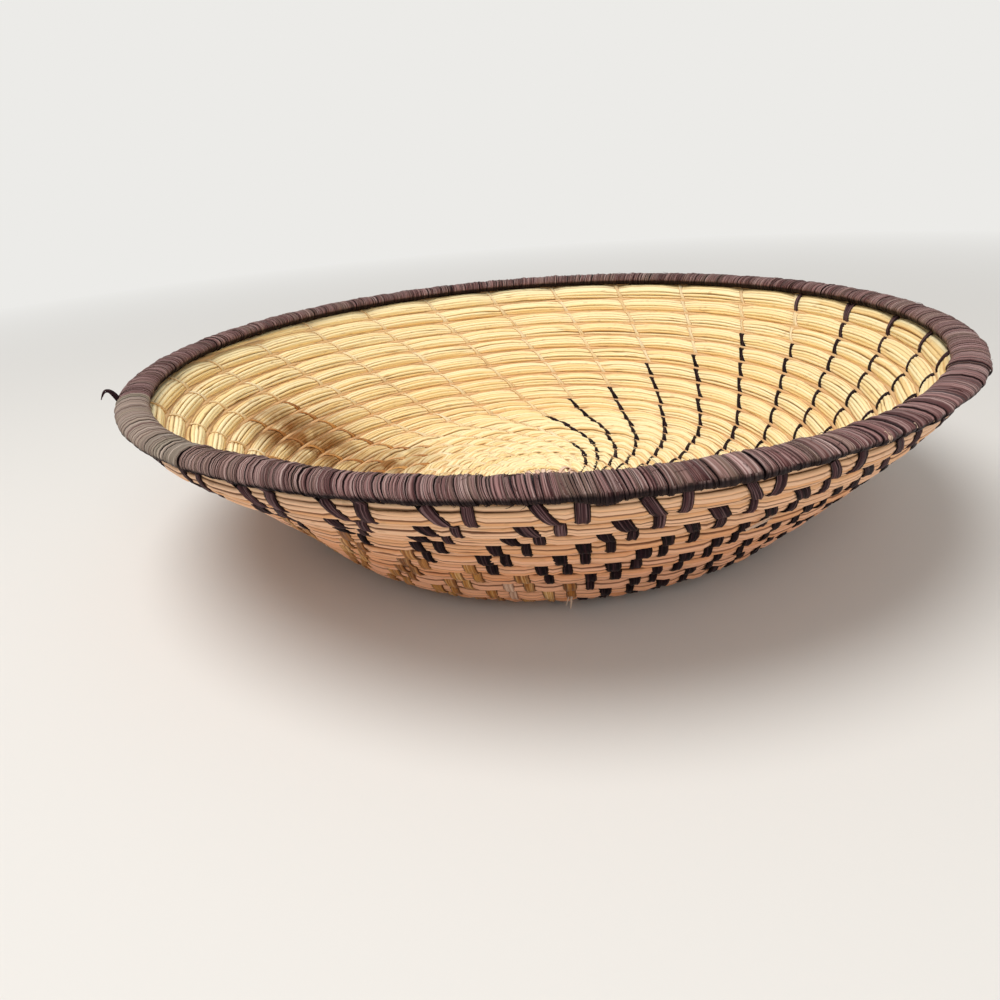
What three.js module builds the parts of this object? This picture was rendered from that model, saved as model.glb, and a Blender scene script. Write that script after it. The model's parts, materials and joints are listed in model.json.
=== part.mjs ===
// Coiled basket bowl: a spiral bundle of grass, columns of raffia stitches that bind its turns,
// and a flat rim bundle lashed all round with raffia. Millimetres, +Z up, standing on z = 0.

import * as THREE from 'three';

// Driving dimensions
const rimDiameter = 300; // over the lashing
const basketHeight = 66.5; // from the floor to the top of the lashing
const rimWidth = 10.5; // lashed rim, across as seen from above
const rimHeight = 5.7; // lashed rim, from its underside to its top
const lashingThickness = 0.6;
const lashingClearance = 0.3; // rim bundle to lashing, and one length of lashing to the next
const rimOverhang = 1.8; // how far the rim's middle stands out from the wall's top edge
const coilSpacing = 7.5; // one turn of the grass coil to the next, along the wall
const coilStartTurn = 0.55; // share of a turn at the very middle that is too tight to wind
const coilGap = 0.6; // space left between two turns
const coilThickness = 7; // through the wall
const floorCutDepth = 0.5; // taken off the turns that stand on the floor
const taperAngle = THREE.MathUtils.degToRad(70); // stretch over which the coil's last end thins out
const taperEndWidth = 1.6; // width of the coil's last end
const taperEndAzimuth = Math.PI; // where the coil's last end lies
const wallSlope = THREE.MathUtils.degToRad(46.5);
const rimSlope = THREE.MathUtils.degToRad(58); // slope of the wall's top edge
const rimSlopeLength = 18; // stretch over which the wall turns steeper, up to the rim
const baseBendRadius = 30;
const stitchWidth = 2.6;
const stitchThickness = 0.5;
const stitchClearance = 0.42; // stitch to coil, and stitch to rim
const firstColumnAzimuth = THREE.MathUtils.degToRad(5.8);
const stitchCrowding = 0.21; // how much wider or closer than even the columns are spaced, as a share
const widestSpacingAzimuth = THREE.MathUtils.degToRad(109);
const rimLean = 0.54; // sideways run of a column for each millimetre down the wall, at the rim
const centreLean = 1.05; // the same near the centre of the base
const firstLashingAzimuth = THREE.MathUtils.degToRad(22.5); // where the first length of lashing starts
const outerStitchEndSlope = THREE.MathUtils.degToRad(22); // wall slope where the outer legs end
const innerStitchEndRadius = 46; // how near to the middle of the base the inner legs reach

// Counts
const stitchColumns = 30;
const lashingCount = 12;
const stepsPerTurn = 24;
const rimSteps = 48;
const rimSides = 8;
const bendSteps = 4;
const straightSteps = 5;
const steepeningSteps = 3;
const innerLegSteps = 8;
const leanSteps = 200;
const faceCorners = 3;

// Columns whose stitches are undyed, and lengths of lashing that have faded to grey
const undyedFrom = THREE.MathUtils.degToRad(30);
const undyedTo = THREE.MathUtils.degToRad(200);
const fadedFrom = THREE.MathUtils.degToRad(200);
const fadedTo = THREE.MathUtils.degToRad(235);

const fullTurn = 2 * Math.PI;
const basket = new THREE.Group();

function material(color, roughness) {
  return new THREE.MeshStandardMaterial({ color, roughness, metalness: 0 });
}

const grass = material(0xd8b67c, 0.75);
const darkRaffia = material(0x2f1c20, 0.6);
const undyedRaffia = material(0xb98a4e, 0.65);
const rimRaffia = material(0x5b474b, 0.55);
const fadedRaffia = material(0x7b7266, 0.6);

function addPiece(name, geometry, finish) {
  const mesh = new THREE.Mesh(geometry, finish.clone());
  mesh.name = name;
  basket.add(mesh);
}

// The wall's middle line, from the centre of the base out to its top edge, in four stretches.
// Along a stretch the slope changes evenly, so its run and its rise have closed forms.
const rimCentreRadius = (rimDiameter - rimWidth) / 2;
const topEdgeRadius = rimCentreRadius - rimOverhang;
const topEdgeHeight = basketHeight - rimHeight - stitchThickness - 2 * stitchClearance;
const baseLineHeight = coilThickness / 2 - floorCutDepth;

function runOf(stretch) {
  const { length, from, to } = stretch;
  if (from === to) return length * Math.cos(from);
  return (length * (Math.sin(to) - Math.sin(from))) / (to - from);
}

function riseOf(stretch) {
  const { length, from, to } = stretch;
  if (from === to) return length * Math.sin(from);
  return (length * (Math.cos(from) - Math.cos(to))) / (to - from);
}

const bend = { length: baseBendRadius * wallSlope, from: 0, to: wallSlope };
const steepening = { length: rimSlopeLength, from: wallSlope, to: rimSlope };
const straightRise = topEdgeHeight - baseLineHeight - riseOf(bend) - riseOf(steepening);
const straight = { length: straightRise / Math.sin(wallSlope), from: wallSlope, to: wallSlope };
const wallRun = runOf(bend) + runOf(straight) + runOf(steepening);
const flat = { length: topEdgeRadius - wallRun, from: 0, to: 0 };
const stretches = [flat, bend, straight, steepening];
const wallArc = stretches.reduce((sum, stretch) => sum + stretch.length, 0);

// Radius, height and slope of the middle line at an arc length from the centre of the base
function wallAt(arc) {
  let radius = 0;
  let height = baseLineHeight;
  let slope = 0;
  let left = arc;
  for (const stretch of stretches) {
    const length = stretch === steepening ? left : Math.min(left, stretch.length);
    slope = stretch.from + ((stretch.to - stretch.from) * length) / stretch.length;
    const part = { length, from: stretch.from, to: slope };
    radius += runOf(part);
    height += riseOf(part);
    left -= length;
    if (left <= 0) break;
  }
  return { radius, height, slope };
}

// A point off the wall's middle line: along is up the wall, inward is towards the hollow
function offWall(arc, along, inward) {
  const { radius, height, slope } = wallAt(arc);
  return {
    radius: radius + along * Math.cos(slope) - inward * Math.sin(slope),
    height: height + along * Math.sin(slope) + inward * Math.cos(slope),
  };
}

function place(radius, azimuth, height) {
  return new THREE.Vector3(radius * Math.cos(azimuth), radius * Math.sin(azimuth), height);
}

// One closed solid from rings of points: the side faces, and a fan on each end of an open run
function solidFromRings(rings, closed = false) {
  const sides = rings[0].length;
  const index = [];
  const spans = closed ? rings.length : rings.length - 1;
  for (let ring = 0; ring < spans; ring += 1) {
    const here = ring * sides;
    const next = ((ring + 1) % rings.length) * sides;
    for (let side = 0; side < sides; side += 1) {
      const beside = (side + 1) % sides;
      index.push(here + side, next + side, next + beside);
      index.push(here + side, next + beside, here + beside);
    }
  }
  if (!closed) {
    const far = (rings.length - 1) * sides;
    for (let side = 1; side < sides - 1; side += 1) {
      index.push(0, side, side + 1);
      index.push(far, far + side + 1, far + side);
    }
  }
  return outwardSolid(rings.flat(), index);
}

// One closed sleeve from outer and inner rings, open at both ends
function sleeveFromRings(outerRings, innerRings) {
  const sides = outerRings[0].length;
  const innerStart = outerRings.length * sides;
  const index = [];
  for (let ring = 0; ring < outerRings.length - 1; ring += 1) {
    const here = ring * sides;
    const next = here + sides;
    for (let side = 0; side < sides; side += 1) {
      const beside = (side + 1) % sides;
      index.push(here + side, next + side, next + beside);
      index.push(here + side, next + beside, here + beside);
      index.push(innerStart + here + side, innerStart + next + beside, innerStart + next + side);
      index.push(innerStart + here + side, innerStart + here + beside, innerStart + next + beside);
    }
  }
  const far = (outerRings.length - 1) * sides;
  for (let side = 0; side < sides; side += 1) {
    const beside = (side + 1) % sides;
    index.push(side, beside, innerStart + beside);
    index.push(side, innerStart + beside, innerStart + side);
    index.push(far + side, innerStart + far + beside, far + beside);
    index.push(far + side, innerStart + far + side, innerStart + far + beside);
  }
  return outwardSolid([...outerRings.flat(), ...innerRings.flat()], index);
}

// Turns the faces over when the signed volume says that they point in
function outwardSolid(points, index) {
  let volume = 0;
  for (let corner = 0; corner < index.length; corner += faceCorners) {
    const face = index.slice(corner, corner + faceCorners);
    const [first, second, third] = face.map((point) => points[point]);
    volume += first.dot(new THREE.Vector3().crossVectors(second, third));
  }
  if (volume < 0) {
    for (let corner = 0; corner < index.length; corner += faceCorners) {
      [index[corner + 1], index[corner + 2]] = [index[corner + 2], index[corner + 1]];
    }
  }
  const geometry = new THREE.BufferGeometry();
  geometry.setFromPoints(points);
  geometry.setIndex(index);
  geometry.computeVertexNormals();
  return geometry;
}

// The grass coil is one unbroken spiral. So that the rim can lie level, its turns fill the same
// arc at every azimuth: their number grows by one round the bowl, and falls back where the coil's
// last end thins out against the turn below.
const wholeTurns = Math.round(wallArc / coilSpacing - 1);

function turnsThatFit(turn) {
  const sinceStart = turn - Math.floor(turn);
  const taper = taperAngle / fullTurn;
  if (sinceStart <= 1 - taper) return wholeTurns + 0.5 + sinceStart;
  return wholeTurns + 0.5 + ((1 - taper) * (1 - sinceStart)) / taper;
}

function coilAt(turn) {
  const fit = turnsThatFit(turn);
  const pitch = wallArc / fit;
  const lowerEdge = (turn - 0.5) * pitch;
  const upperEdge = Math.min((turn + 0.5) * pitch, wallArc);
  const share = (upperEdge - lowerEdge) / pitch;
  return {
    arc: (lowerEdge + upperEdge) / 2,
    width: share * pitch - coilGap,
    thickness: coilThickness * Math.sqrt(share),
  };
}

// Six-sided section with a corner towards each neighbouring turn and a flat on each face of the
// wall. The turns that would reach below the floor are cut flat on it.
function coilRing(turn) {
  const { arc, width, thickness } = coilAt(turn);
  const azimuth = taperEndAzimuth + turn * fullTurn;
  const edge = width / 2;
  const face = thickness / 2;
  const faceEdge = edge / 2;
  const section = [
    [edge, 0],
    [faceEdge, face],
    [-faceEdge, face],
    [-edge, 0],
    [-faceEdge, -face],
    [faceEdge, -face],
  ];
  return section.map(([along, inward]) => {
    const { radius, height } = offWall(arc, along, inward);
    return place(radius, azimuth, Math.max(height, 0));
  });
}

function coilRings() {
  const rings = [];
  const firstStep = Math.ceil(coilStartTurn * stepsPerTurn);
  for (let step = firstStep; ; step += 1) {
    const turn = step / stepsPerTurn;
    const past = turn >= wholeTurns + 1 || (turn > wholeTurns && coilAt(turn).width < taperEndWidth);
    if (past) return rings;
    rings.push(coilRing(turn));
  }
}

// Least distance between two turns, measured from the corners of one to the edges of the other
function leastCoilGap(rings) {
  const edge = new THREE.Line3();
  const nearest = new THREE.Vector3();
  let least = Infinity;
  for (let ring = 0; ring < rings.length; ring += 1) {
    for (let other = ring + stepsPerTurn - 2; other <= ring + stepsPerTurn + 2; other += 1) {
      if (other + 1 >= rings.length) break;
      for (const corner of rings[ring]) {
        for (let side = 0; side < rings[other].length; side += 1) {
          edge.set(rings[other][side], rings[other + 1][side]);
          edge.closestPointToPoint(corner, true, nearest);
          least = Math.min(least, nearest.distanceTo(corner));
        }
      }
    }
  }
  return least;
}

const foundationRings = coilRings();
addPiece('foundation_coil', solidFromRings(foundationRings), grass);
console.log(`foundation_coil: least gap between turns ${leastCoilGap(foundationRings).toFixed(3)} mm`);

// The coil runs straight between its steps, so what lies on it follows those straight runs
function onCoilFacets(radius, azimuth) {
  const step = fullTurn / stepsPerTurn;
  const sinceStep = THREE.MathUtils.euclideanModulo(azimuth - taperEndAzimuth, step);
  return (radius * Math.cos(step / 2)) / Math.cos(sinceStep - step / 2);
}

// The columns stand closer together on one side of the bowl than on the other
function columnAzimuth(column) {
  const even = firstColumnAzimuth + (column * fullTurn) / stitchColumns;
  return even + stitchCrowding * Math.sin(even - widestSpacingAzimuth);
}

// A stitch column leans sideways as it goes down the wall, and more so towards the centre.
// The table ends near the middle of the base, inside the radius where the stitches end.
const leastLeanRadius = innerStitchEndRadius / 2;
const leanByArc = [0];
for (let step = 1; step <= leanSteps; step += 1) {
  const arc = wallArc * (1 - (step - 0.5) / leanSteps);
  const radius = Math.max(wallAt(arc).radius, leastLeanRadius);
  const lean = THREE.MathUtils.lerp(centreLean, rimLean, radius / topEdgeRadius);
  leanByArc.push(leanByArc[step - 1] + (lean * wallArc) / leanSteps / radius);
}

function leanAt(arc) {
  const steps = THREE.MathUtils.clamp((1 - arc / wallArc) * leanSteps, 0, leanSteps);
  const step = Math.min(Math.floor(steps), leanSteps - 1);
  return THREE.MathUtils.lerp(leanByArc[step], leanByArc[step + 1], steps - step);
}

// Path of a column in the wall's own plane: up the outside, over the top turn, down the inside.
// It leaves the faces of the top turn a quarter of a turn's width below its top edge, and
// crosses that edge level, over the middle half of the coil's thickness.
function columnPath() {
  const faceOffset = coilThickness / 2 + stitchClearance + stitchThickness / 2;
  const topOffset = stitchClearance + stitchThickness / 2;
  const outerEnd = flat.length + (bend.length * outerStitchEndSlope) / wallSlope;
  const bendTop = flat.length + bend.length;
  const straightTop = bendTop + straight.length;
  const legTop = wallArc - coilSpacing / 4;
  const crossing = coilThickness / 4;
  const path = [];
  const addLeg = (from, to, steps, inward) => {
    for (let step = 0; step < steps; step += 1) {
      path.push([THREE.MathUtils.lerp(from, to, step / steps), inward]);
    }
  };
  addLeg(outerEnd, bendTop, bendSteps, -faceOffset);
  addLeg(bendTop, straightTop, straightSteps, -faceOffset);
  addLeg(straightTop, legTop, steepeningSteps, -faceOffset);
  path.push([legTop, -faceOffset]);
  path.push([wallArc + topOffset, -crossing]);
  path.push([wallArc + topOffset, crossing]);
  addLeg(legTop, innerStitchEndRadius, innerLegSteps, faceOffset);
  path.push([innerStitchEndRadius, faceOffset]);
  return path;
}

const stitchPath = columnPath();

function stitchColumn(azimuth) {
  const onWall = (arc, inward) => {
    const base = Math.min(arc, wallArc);
    const { radius, height } = offWall(base, arc - base, inward);
    const angle = azimuth - leanAt(base);
    return place(onCoilFacets(radius, angle), angle, height);
  };
  const middles = stitchPath.map(([arc, inward]) => onWall(arc, inward));
  const rings = middles.map((middle, step) => {
    const before = middles[Math.max(step - 1, 0)];
    const after = middles[Math.min(step + 1, middles.length - 1)];
    const direction = after.clone().sub(before).normalize();
    const round = new THREE.Vector3(-middle.y, middle.x, 0).normalize();
    const across = round.addScaledVector(direction, -round.dot(direction)).normalize();
    const through = new THREE.Vector3().crossVectors(direction, across);
    const corners = [[1, 1], [-1, 1], [-1, -1], [1, -1]];
    return corners.map(([side, face]) => middle.clone()
      .addScaledVector(across, (side * stitchWidth) / 2)
      .addScaledVector(through, (face * stitchThickness) / 2));
  });
  return solidFromRings(rings);
}

function isBetween(azimuth, from, to) {
  return THREE.MathUtils.euclideanModulo(azimuth - from, fullTurn) < to - from;
}

for (let column = 0; column < stitchColumns; column += 1) {
  const azimuth = columnAzimuth(column);
  const finish = isBetween(azimuth, undyedFrom, undyedTo) ? undyedRaffia : darkRaffia;
  const number = String(column + 1).padStart(2, '0');
  addPiece(`stitch_column_${number}`, stitchColumn(azimuth), finish);
}

// The rim is a flat oval bundle, closed in a ring, and the lashing is a sleeve round it
function ovalRing(azimuth, width, height) {
  const ring = [];
  for (let side = 0; side < rimSides; side += 1) {
    const angle = (side * fullTurn) / rimSides;
    const radius = rimCentreRadius + (width / 2) * Math.cos(angle);
    const level = basketHeight - rimHeight / 2 + (height / 2) * Math.sin(angle);
    ring.push(place(radius, azimuth, level));
  }
  return ring;
}

const lashingBoreWidth = rimWidth - 2 * lashingThickness;
const lashingBoreHeight = rimHeight - 2 * lashingThickness;
const bundleWidth = lashingBoreWidth - 2 * lashingClearance;
const bundleHeight = lashingBoreHeight - 2 * lashingClearance;

const rimBundleRings = [];
for (let step = 0; step < rimSteps; step += 1) {
  rimBundleRings.push(ovalRing((step * fullTurn) / rimSteps, bundleWidth, bundleHeight));
}
addPiece('rim_bundle', solidFromRings(rimBundleRings, true), grass);

function lashing(from, to) {
  const endGap = lashingClearance / 2 / rimCentreRadius;
  const steps = rimSteps / lashingCount;
  const outerRings = [];
  const innerRings = [];
  for (let step = 0; step <= steps; step += 1) {
    let azimuth = THREE.MathUtils.lerp(from, to, step / steps);
    if (step === 0) azimuth += endGap;
    if (step === steps) azimuth -= endGap;
    outerRings.push(ovalRing(azimuth, rimWidth, rimHeight));
    innerRings.push(ovalRing(azimuth, lashingBoreWidth, lashingBoreHeight));
  }
  return sleeveFromRings(outerRings, innerRings);
}

for (let length = 0; length < lashingCount; length += 1) {
  const from = firstLashingAzimuth + (length * fullTurn) / lashingCount;
  const to = from + fullTurn / lashingCount;
  const finish = isBetween((from + to) / 2, fadedFrom, fadedTo) ? fadedRaffia : rimRaffia;
  const number = String(length + 1).padStart(2, '0');
  addPiece(`rim_lashing_${number}`, lashing(from, to), finish);
}

export default basket;
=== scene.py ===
import json
import math

import bpy
import numpy as np
from mathutils import Matrix, Vector


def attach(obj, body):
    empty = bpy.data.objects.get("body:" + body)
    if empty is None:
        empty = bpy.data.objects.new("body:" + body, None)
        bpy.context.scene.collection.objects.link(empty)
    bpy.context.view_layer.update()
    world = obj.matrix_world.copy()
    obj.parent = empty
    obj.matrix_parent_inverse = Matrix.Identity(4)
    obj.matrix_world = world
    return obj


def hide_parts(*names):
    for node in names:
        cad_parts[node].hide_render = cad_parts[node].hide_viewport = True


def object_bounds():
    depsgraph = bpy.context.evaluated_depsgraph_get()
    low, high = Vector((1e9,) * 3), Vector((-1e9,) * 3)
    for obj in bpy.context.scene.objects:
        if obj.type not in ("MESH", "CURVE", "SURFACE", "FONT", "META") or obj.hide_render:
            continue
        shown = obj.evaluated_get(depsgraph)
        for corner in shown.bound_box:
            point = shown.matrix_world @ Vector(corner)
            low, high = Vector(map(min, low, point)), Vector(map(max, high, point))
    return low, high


# Coiled basket bowl: bundles of grass stems wound in one spiral, raffia stitches between the turns,
# and a flat rim bundle wound all round with raffia. Metres, standing on z = 0, the front at -Y.

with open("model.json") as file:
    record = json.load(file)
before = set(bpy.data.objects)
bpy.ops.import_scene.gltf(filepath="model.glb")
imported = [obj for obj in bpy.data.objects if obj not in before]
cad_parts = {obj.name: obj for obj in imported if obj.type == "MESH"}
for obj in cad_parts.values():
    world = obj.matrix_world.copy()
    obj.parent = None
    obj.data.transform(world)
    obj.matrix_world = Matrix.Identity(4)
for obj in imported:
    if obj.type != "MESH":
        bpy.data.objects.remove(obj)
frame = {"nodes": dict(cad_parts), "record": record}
cadLow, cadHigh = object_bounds()
mm = 0.001
fullTurn = 2 * np.pi
print("frame loaded:", len(frame["nodes"]), "nodes")


def addObject(name, data):
    made = bpy.data.objects.new(name, data)
    bpy.context.scene.collection.objects.link(made)
    return made


def unit(vectors):
    return vectors / np.linalg.norm(vectors, axis=-1, keepdims=True)


def evenAngles(count):
    return fullTurn * np.arange(count) / count


# Points at a distance from the bowl's axis, at an azimuth and a height
def roundPoint(radius, azimuth, height):
    return np.stack(np.broadcast_arrays(radius * np.cos(azimuth), radius * np.sin(azimuth), height), -1)


# How far an azimuth is from a middle, in degrees from -180 to 180
def degreesFrom(azimuth, middle=0):
    return (np.degrees(azimuth) - middle + 180) % 360 - 180


# Bell over that distance, e to the power of minus the square of distance over width
def bellAt(azimuth, middle, wide):
    return np.exp(-(degreesFrom(azimuth, middle) / wide) ** 2)


# Camera at the photograph's viewing angle. Nothing else depends on it.
cameraPlan = {
    "place": (0.0001, -0.2953, 0.1286),
    "yaw": -0.0637, "pitch": 0.42, "roll": -0.0786,  # radians; yaw turns right, pitch looks down
    "lens": 27.54, "sensor": 36,
}


def makeCamera(plan):
    yaw, pitch, roll = plan["yaw"], plan["pitch"], plan["roll"]
    ahead = Vector((math.sin(yaw) * math.cos(pitch), math.cos(yaw) * math.cos(pitch), -math.sin(pitch)))
    level = Vector((math.cos(yaw), -math.sin(yaw), 0))
    upright = level.cross(ahead)
    right = math.cos(roll) * level + math.sin(roll) * upright
    up = math.cos(roll) * upright - math.sin(roll) * level
    data = bpy.data.cameras.new("camera")
    data.lens, data.sensor_width = plan["lens"], plan["sensor"]
    data.clip_start, data.clip_end = 0.01, 50
    camera = addObject("camera", data)
    turned = Matrix((right, up, -ahead)).transposed().to_4x4()
    camera.matrix_world = Matrix.Translation(plan["place"]) @ turned
    bpy.context.scene.camera = camera


makeCamera(cameraPlan)

# The bowl's own sizes. The rim's diameter and the height come from the frame.
bowl = {
    "rimWidth": 10.5 * mm, "rimHeight": 5.7 * mm,
    "rimOverhang": 1.8 * mm,  # the rim's middle beyond the wall's top edge
    "underRim": 1.34 * mm,  # between the top turn and the rim, where the stitches pass
    "turnSpacing": 7.5 * mm, "thickness": 7 * mm, "floorCut": 0.5 * mm,
    "wallSlope": math.radians(46.5), "rimSlope": math.radians(58),
    "steepLength": 18 * mm, "bendRadius": 30 * mm,
    "firstTurn": 0.55, "taper": 70 / 360, "thinnest": 0.02,  # turns, turns and a share of a whole turn
    "endAzimuth": math.pi,  # where the coil's last end lies
    "stretch": 1.4 * mm,  # the top turn's upper stems are pushed this far towards the rim,
    "stretchOver": 6 * mm, "stretchMost": 1.3,  # growing over this length, and on to this many times
    "rest": 0.5 * mm,  # the base's stems are worn flat here, and stand on their stitches
}
rimRadius = (cadHigh.x - cadLow.x - bowl["rimWidth"]) / 2
rimLevel = cadHigh.z - bowl["rimHeight"] / 2
topRadius = rimRadius - bowl["rimOverhang"]
topHeight = cadHigh.z - bowl["rimHeight"] - bowl["underRim"]
baseHeight = bowl["thickness"] / 2 - bowl["floorCut"]


# Over a stretch of wall whose slope grows evenly from a to b, the run is
# length * cos((a + b) / 2) * sinc((b - a) / 2) and the rise is the same with the sine.
def runAndRise(length, start, end):
    mean, half = (start + end) / 2, (end - start) / 2
    chord = length * np.sinc(half / np.pi)
    return chord * np.cos(mean), chord * np.sin(mean)


wallSlope, rimSlope = bowl["wallSlope"], bowl["rimSlope"]
bendLength = bowl["bendRadius"] * wallSlope
bendRun, bendRise = runAndRise(bendLength, 0, wallSlope)
steepRun, steepRise = runAndRise(bowl["steepLength"], wallSlope, rimSlope)
straightLength = (topHeight - baseHeight - bendRise - steepRise) / math.sin(wallSlope)
flatLength = topRadius - bendRun - steepRun - straightLength * math.cos(wallSlope)
stretches = [  # length, and slope at its start and end
    (flatLength, 0, 0), (bendLength, 0, wallSlope),
    (straightLength, wallSlope, wallSlope), (bowl["steepLength"], wallSlope, rimSlope),
]
wallArc = sum(stretch[0] for stretch in stretches)


# Middle line of the wall at an arc length from the centre of the base: radius, height and slope
def wallAt(arc):
    arc = np.asarray(arc, float)
    radius, height = np.zeros_like(arc), np.full_like(arc, baseHeight)
    slope, left = np.zeros_like(arc), arc
    for number, (length, start, end) in enumerate(stretches):
        most = length if number < len(stretches) - 1 else np.inf
        part = np.clip(left, 0, most)
        here = start + (end - start) * part / length
        run, rise = runAndRise(part, start, here)
        radius, height = radius + run, height + rise
        slope = np.where(left > 0, here, slope)
        left = left - part
    return radius, height, slope


# The coil is one spiral. At every azimuth its turns fill the same arc, so the rim lies level: the count
# that fits grows by one round the bowl, and falls back where the last end thins out.
wholeTurns = round(wallArc / bowl["turnSpacing"] - 1)


# Arc, width, thickness and spacing of the coil at a turn
def coilAt(turn):
    since = turn - np.floor(turn)
    falling = (1 - bowl["taper"]) * (1 - since) / bowl["taper"]
    pitch = wallArc / (wholeTurns + 0.5 + np.minimum(since, falling))
    lower = (turn - 0.5) * pitch
    upper = np.minimum((turn + 0.5) * pitch, wallArc)
    share = np.clip((upper - lower) / pitch, bowl["thinnest"], 1)
    return (lower + upper) / 2, share * pitch, bowl["thickness"] * np.sqrt(share), pitch


def azimuthOf(turn):
    return bowl["endAzimuth"] + fullTurn * turn


# Hand-made unevenness of the wall, as soft bumps. Each has how far inward it goes, its azimuth and width
# in degrees, and its arc from the centre of the base and width in millimetres.
unevenness = [
    (4.2, -140, 22, 114, 42), (1.3, -110, 25, 120, 30), (1.6, -110, 40, 148, 14), (0.6, -84, 25, 128, 26),
    (-0.6, -54, 30, 120, 30), (-0.5, -25, 25, 114, 42), (0.5, 62, 40, 125, 30), (-0.6, 140, 35, 105, 35),
]
evenWall = {"belowRim": 18 * mm, "base": 62 * mm, "aboveBase": 25 * mm}


# Sum of bells over azimuth and arc, faded out towards the flat base and towards the rim
def unevenAt(azimuth, arc):
    total = 0
    for amount, middle, wide, arcMiddle, high in unevenness:
        bell = np.exp(-(degreesFrom(azimuth, middle) / wide) ** 2 - ((arc / mm - arcMiddle) / high) ** 2)
        total = total + amount * mm * bell
    total = total * np.clip((wallArc - arc) / evenWall["belowRim"], 0, 1)
    return total * np.clip((arc - evenWall["base"]) / evenWall["aboveBase"], 0, 1)


# A point of the coil's section at a turn: along is up the wall, inward is towards the hollow
def sectionPoint(turn, along, inward, lowest=bowl["rest"]):
    arc = coilAt(turn)[0]
    radius, height, slope = wallAt(arc)
    azimuth = azimuthOf(turn)
    nearRim = np.clip((arc + along - wallArc) / bowl["stretchOver"] + 1, 0, bowl["stretchMost"])
    along = along + bowl["stretch"] * nearRim ** 2
    inward = inward + unevenAt(azimuth, arc + along)
    out = radius + along * np.cos(slope) - inward * np.sin(slope)
    up = height + along * np.sin(slope) + inward * np.cos(slope)
    return roundPoint(out, azimuth, np.maximum(up, lowest))


# The same section's own directions: up the wall, and into the hollow
def sectionDirections(turn):
    slope, azimuth = wallAt(coilAt(turn)[0])[2], azimuthOf(turn)
    return (roundPoint(np.cos(slope), azimuth, np.sin(slope)),
            roundPoint(-np.sin(slope), azimuth, np.cos(slope)))


# Distance along the coil's middle line, from a fine table of its turns
tableTurns = np.linspace(bowl["firstTurn"], wholeTurns + 1, 12001)
tableRadius = wallAt(coilAt(tableTurns)[0])[0]
tableDistance = np.concatenate([[0], np.cumsum(fullTurn * tableRadius[1:] * np.diff(tableTurns))])


def distanceAt(turn):
    return np.interp(turn, tableTurns, tableDistance)


# Stitches stand in columns that lean as they go down the wall, and are closer together on one side
stitchPlan = {
    "columns": 30, "first": math.radians(5.8),
    "crowding": 0.21, "widest": math.radians(109),
    "rimLean": 0.54, "centreLean": 1.05,  # sideways run for each metre down the wall
    "leastRadius": 3 * mm,  # nearer the centre the columns lean no more than here
    "halvedInside": 26 * mm, "halvedAgainInside": 13 * mm,  # radii inside which columns drop out
    # how far ahead of the next upright leg a slanting one starts, by its row from the rim, and where it ends
    "aheadRows": (0.6, 1.5, 2.5, 3.5, 4.5), "topAhead": (5.6, 4.7, 3.5, 1.7, 1.2), "bottomAhead": 0.4,
    "aheadFrom": -122, "aheadOver": 108,  # degrees round the turn that a slanting leg takes
    "wander": 0.45 * mm,
}
columnCount = stitchPlan["columns"]
leanArcs = np.linspace(0, wallArc, 2001)
leanRadius = np.maximum(wallAt(leanArcs)[0], stitchPlan["leastRadius"])
leanShare = leanRadius / topRadius
leanRate = (stitchPlan["centreLean"] * (1 - leanShare) + stitchPlan["rimLean"] * leanShare) / leanRadius
leanBelow = np.concatenate([[0], np.cumsum((leanRate[1:] + leanRate[:-1]) / 2 * np.diff(leanArcs))])


# Azimuth by which a column has moved back at an arc, summed from the top edge down
def leanAt(arc):
    return leanBelow[-1] - np.interp(arc, leanArcs, leanBelow)


# Column number, not whole between columns, of an azimuth at an arc. The crowded azimuth is
# even + crowding * sin(even - widest), and is turned back by repeated substitution.
def columnNumber(azimuth, arc):
    crowded = azimuth + leanAt(arc)
    even = crowded
    for _ in range(8):
        even = crowded - stitchPlan["crowding"] * np.sin(even - stitchPlan["widest"])
    return (even - stitchPlan["first"]) * columnCount / fullTurn


# Width of one column's field at that azimuth, in metres
def columnField(azimuth, arc):
    stretch = 1 + stitchPlan["crowding"] * np.cos(azimuth + leanAt(arc) - stitchPlan["widest"])
    return stretch * fullTurn / columnCount * np.maximum(wallAt(arc)[0], stitchPlan["leastRadius"])


# The coil crosses column after column: the crossings are where its running number is whole
tableNumber = columnNumber(azimuthOf(tableTurns), coilAt(tableTurns)[0])
firstCrossing = int(np.ceil(tableNumber[0]))
crossings = np.arange(firstCrossing, int(np.floor(tableNumber[-1])) + 1)
crossingTurn = np.interp(crossings, tableNumber, tableTurns)
crossingRadius = wallAt(coilAt(crossingTurn)[0])[0]
draw = np.random.default_rng(41)
insideLeg, uprightLeg, slantingLeg = range(3)
crossingShift = draw.normal(0, stitchPlan["wander"], (3, len(crossings)))  # one row for each leg
kept = (crossingRadius > stitchPlan["halvedInside"]) | (crossings % 2 == 0)
kept &= (crossingRadius > stitchPlan["halvedAgainInside"]) | (crossings % 4 == 0)


def crossingIndex(number):
    return np.clip(np.rint(number).astype(int) - firstCrossing, 0, len(crossings) - 1)


# How far ahead of the column below a slanting leg is, at an angle of the outer face of the turn at an arc:
# even over the part of the face that shows between the turns
def slantAhead(angle, arc):
    share = np.clip((np.degrees(angle) - stitchPlan["aheadFrom"]) / stitchPlan["aheadOver"], 0, 1)
    top = np.interp((wallArc - arc) / bowl["turnSpacing"], stitchPlan["aheadRows"], stitchPlan["topAhead"])
    return (stitchPlan["bottomAhead"] + (top - stitchPlan["bottomAhead"]) * share) * mm


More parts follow.
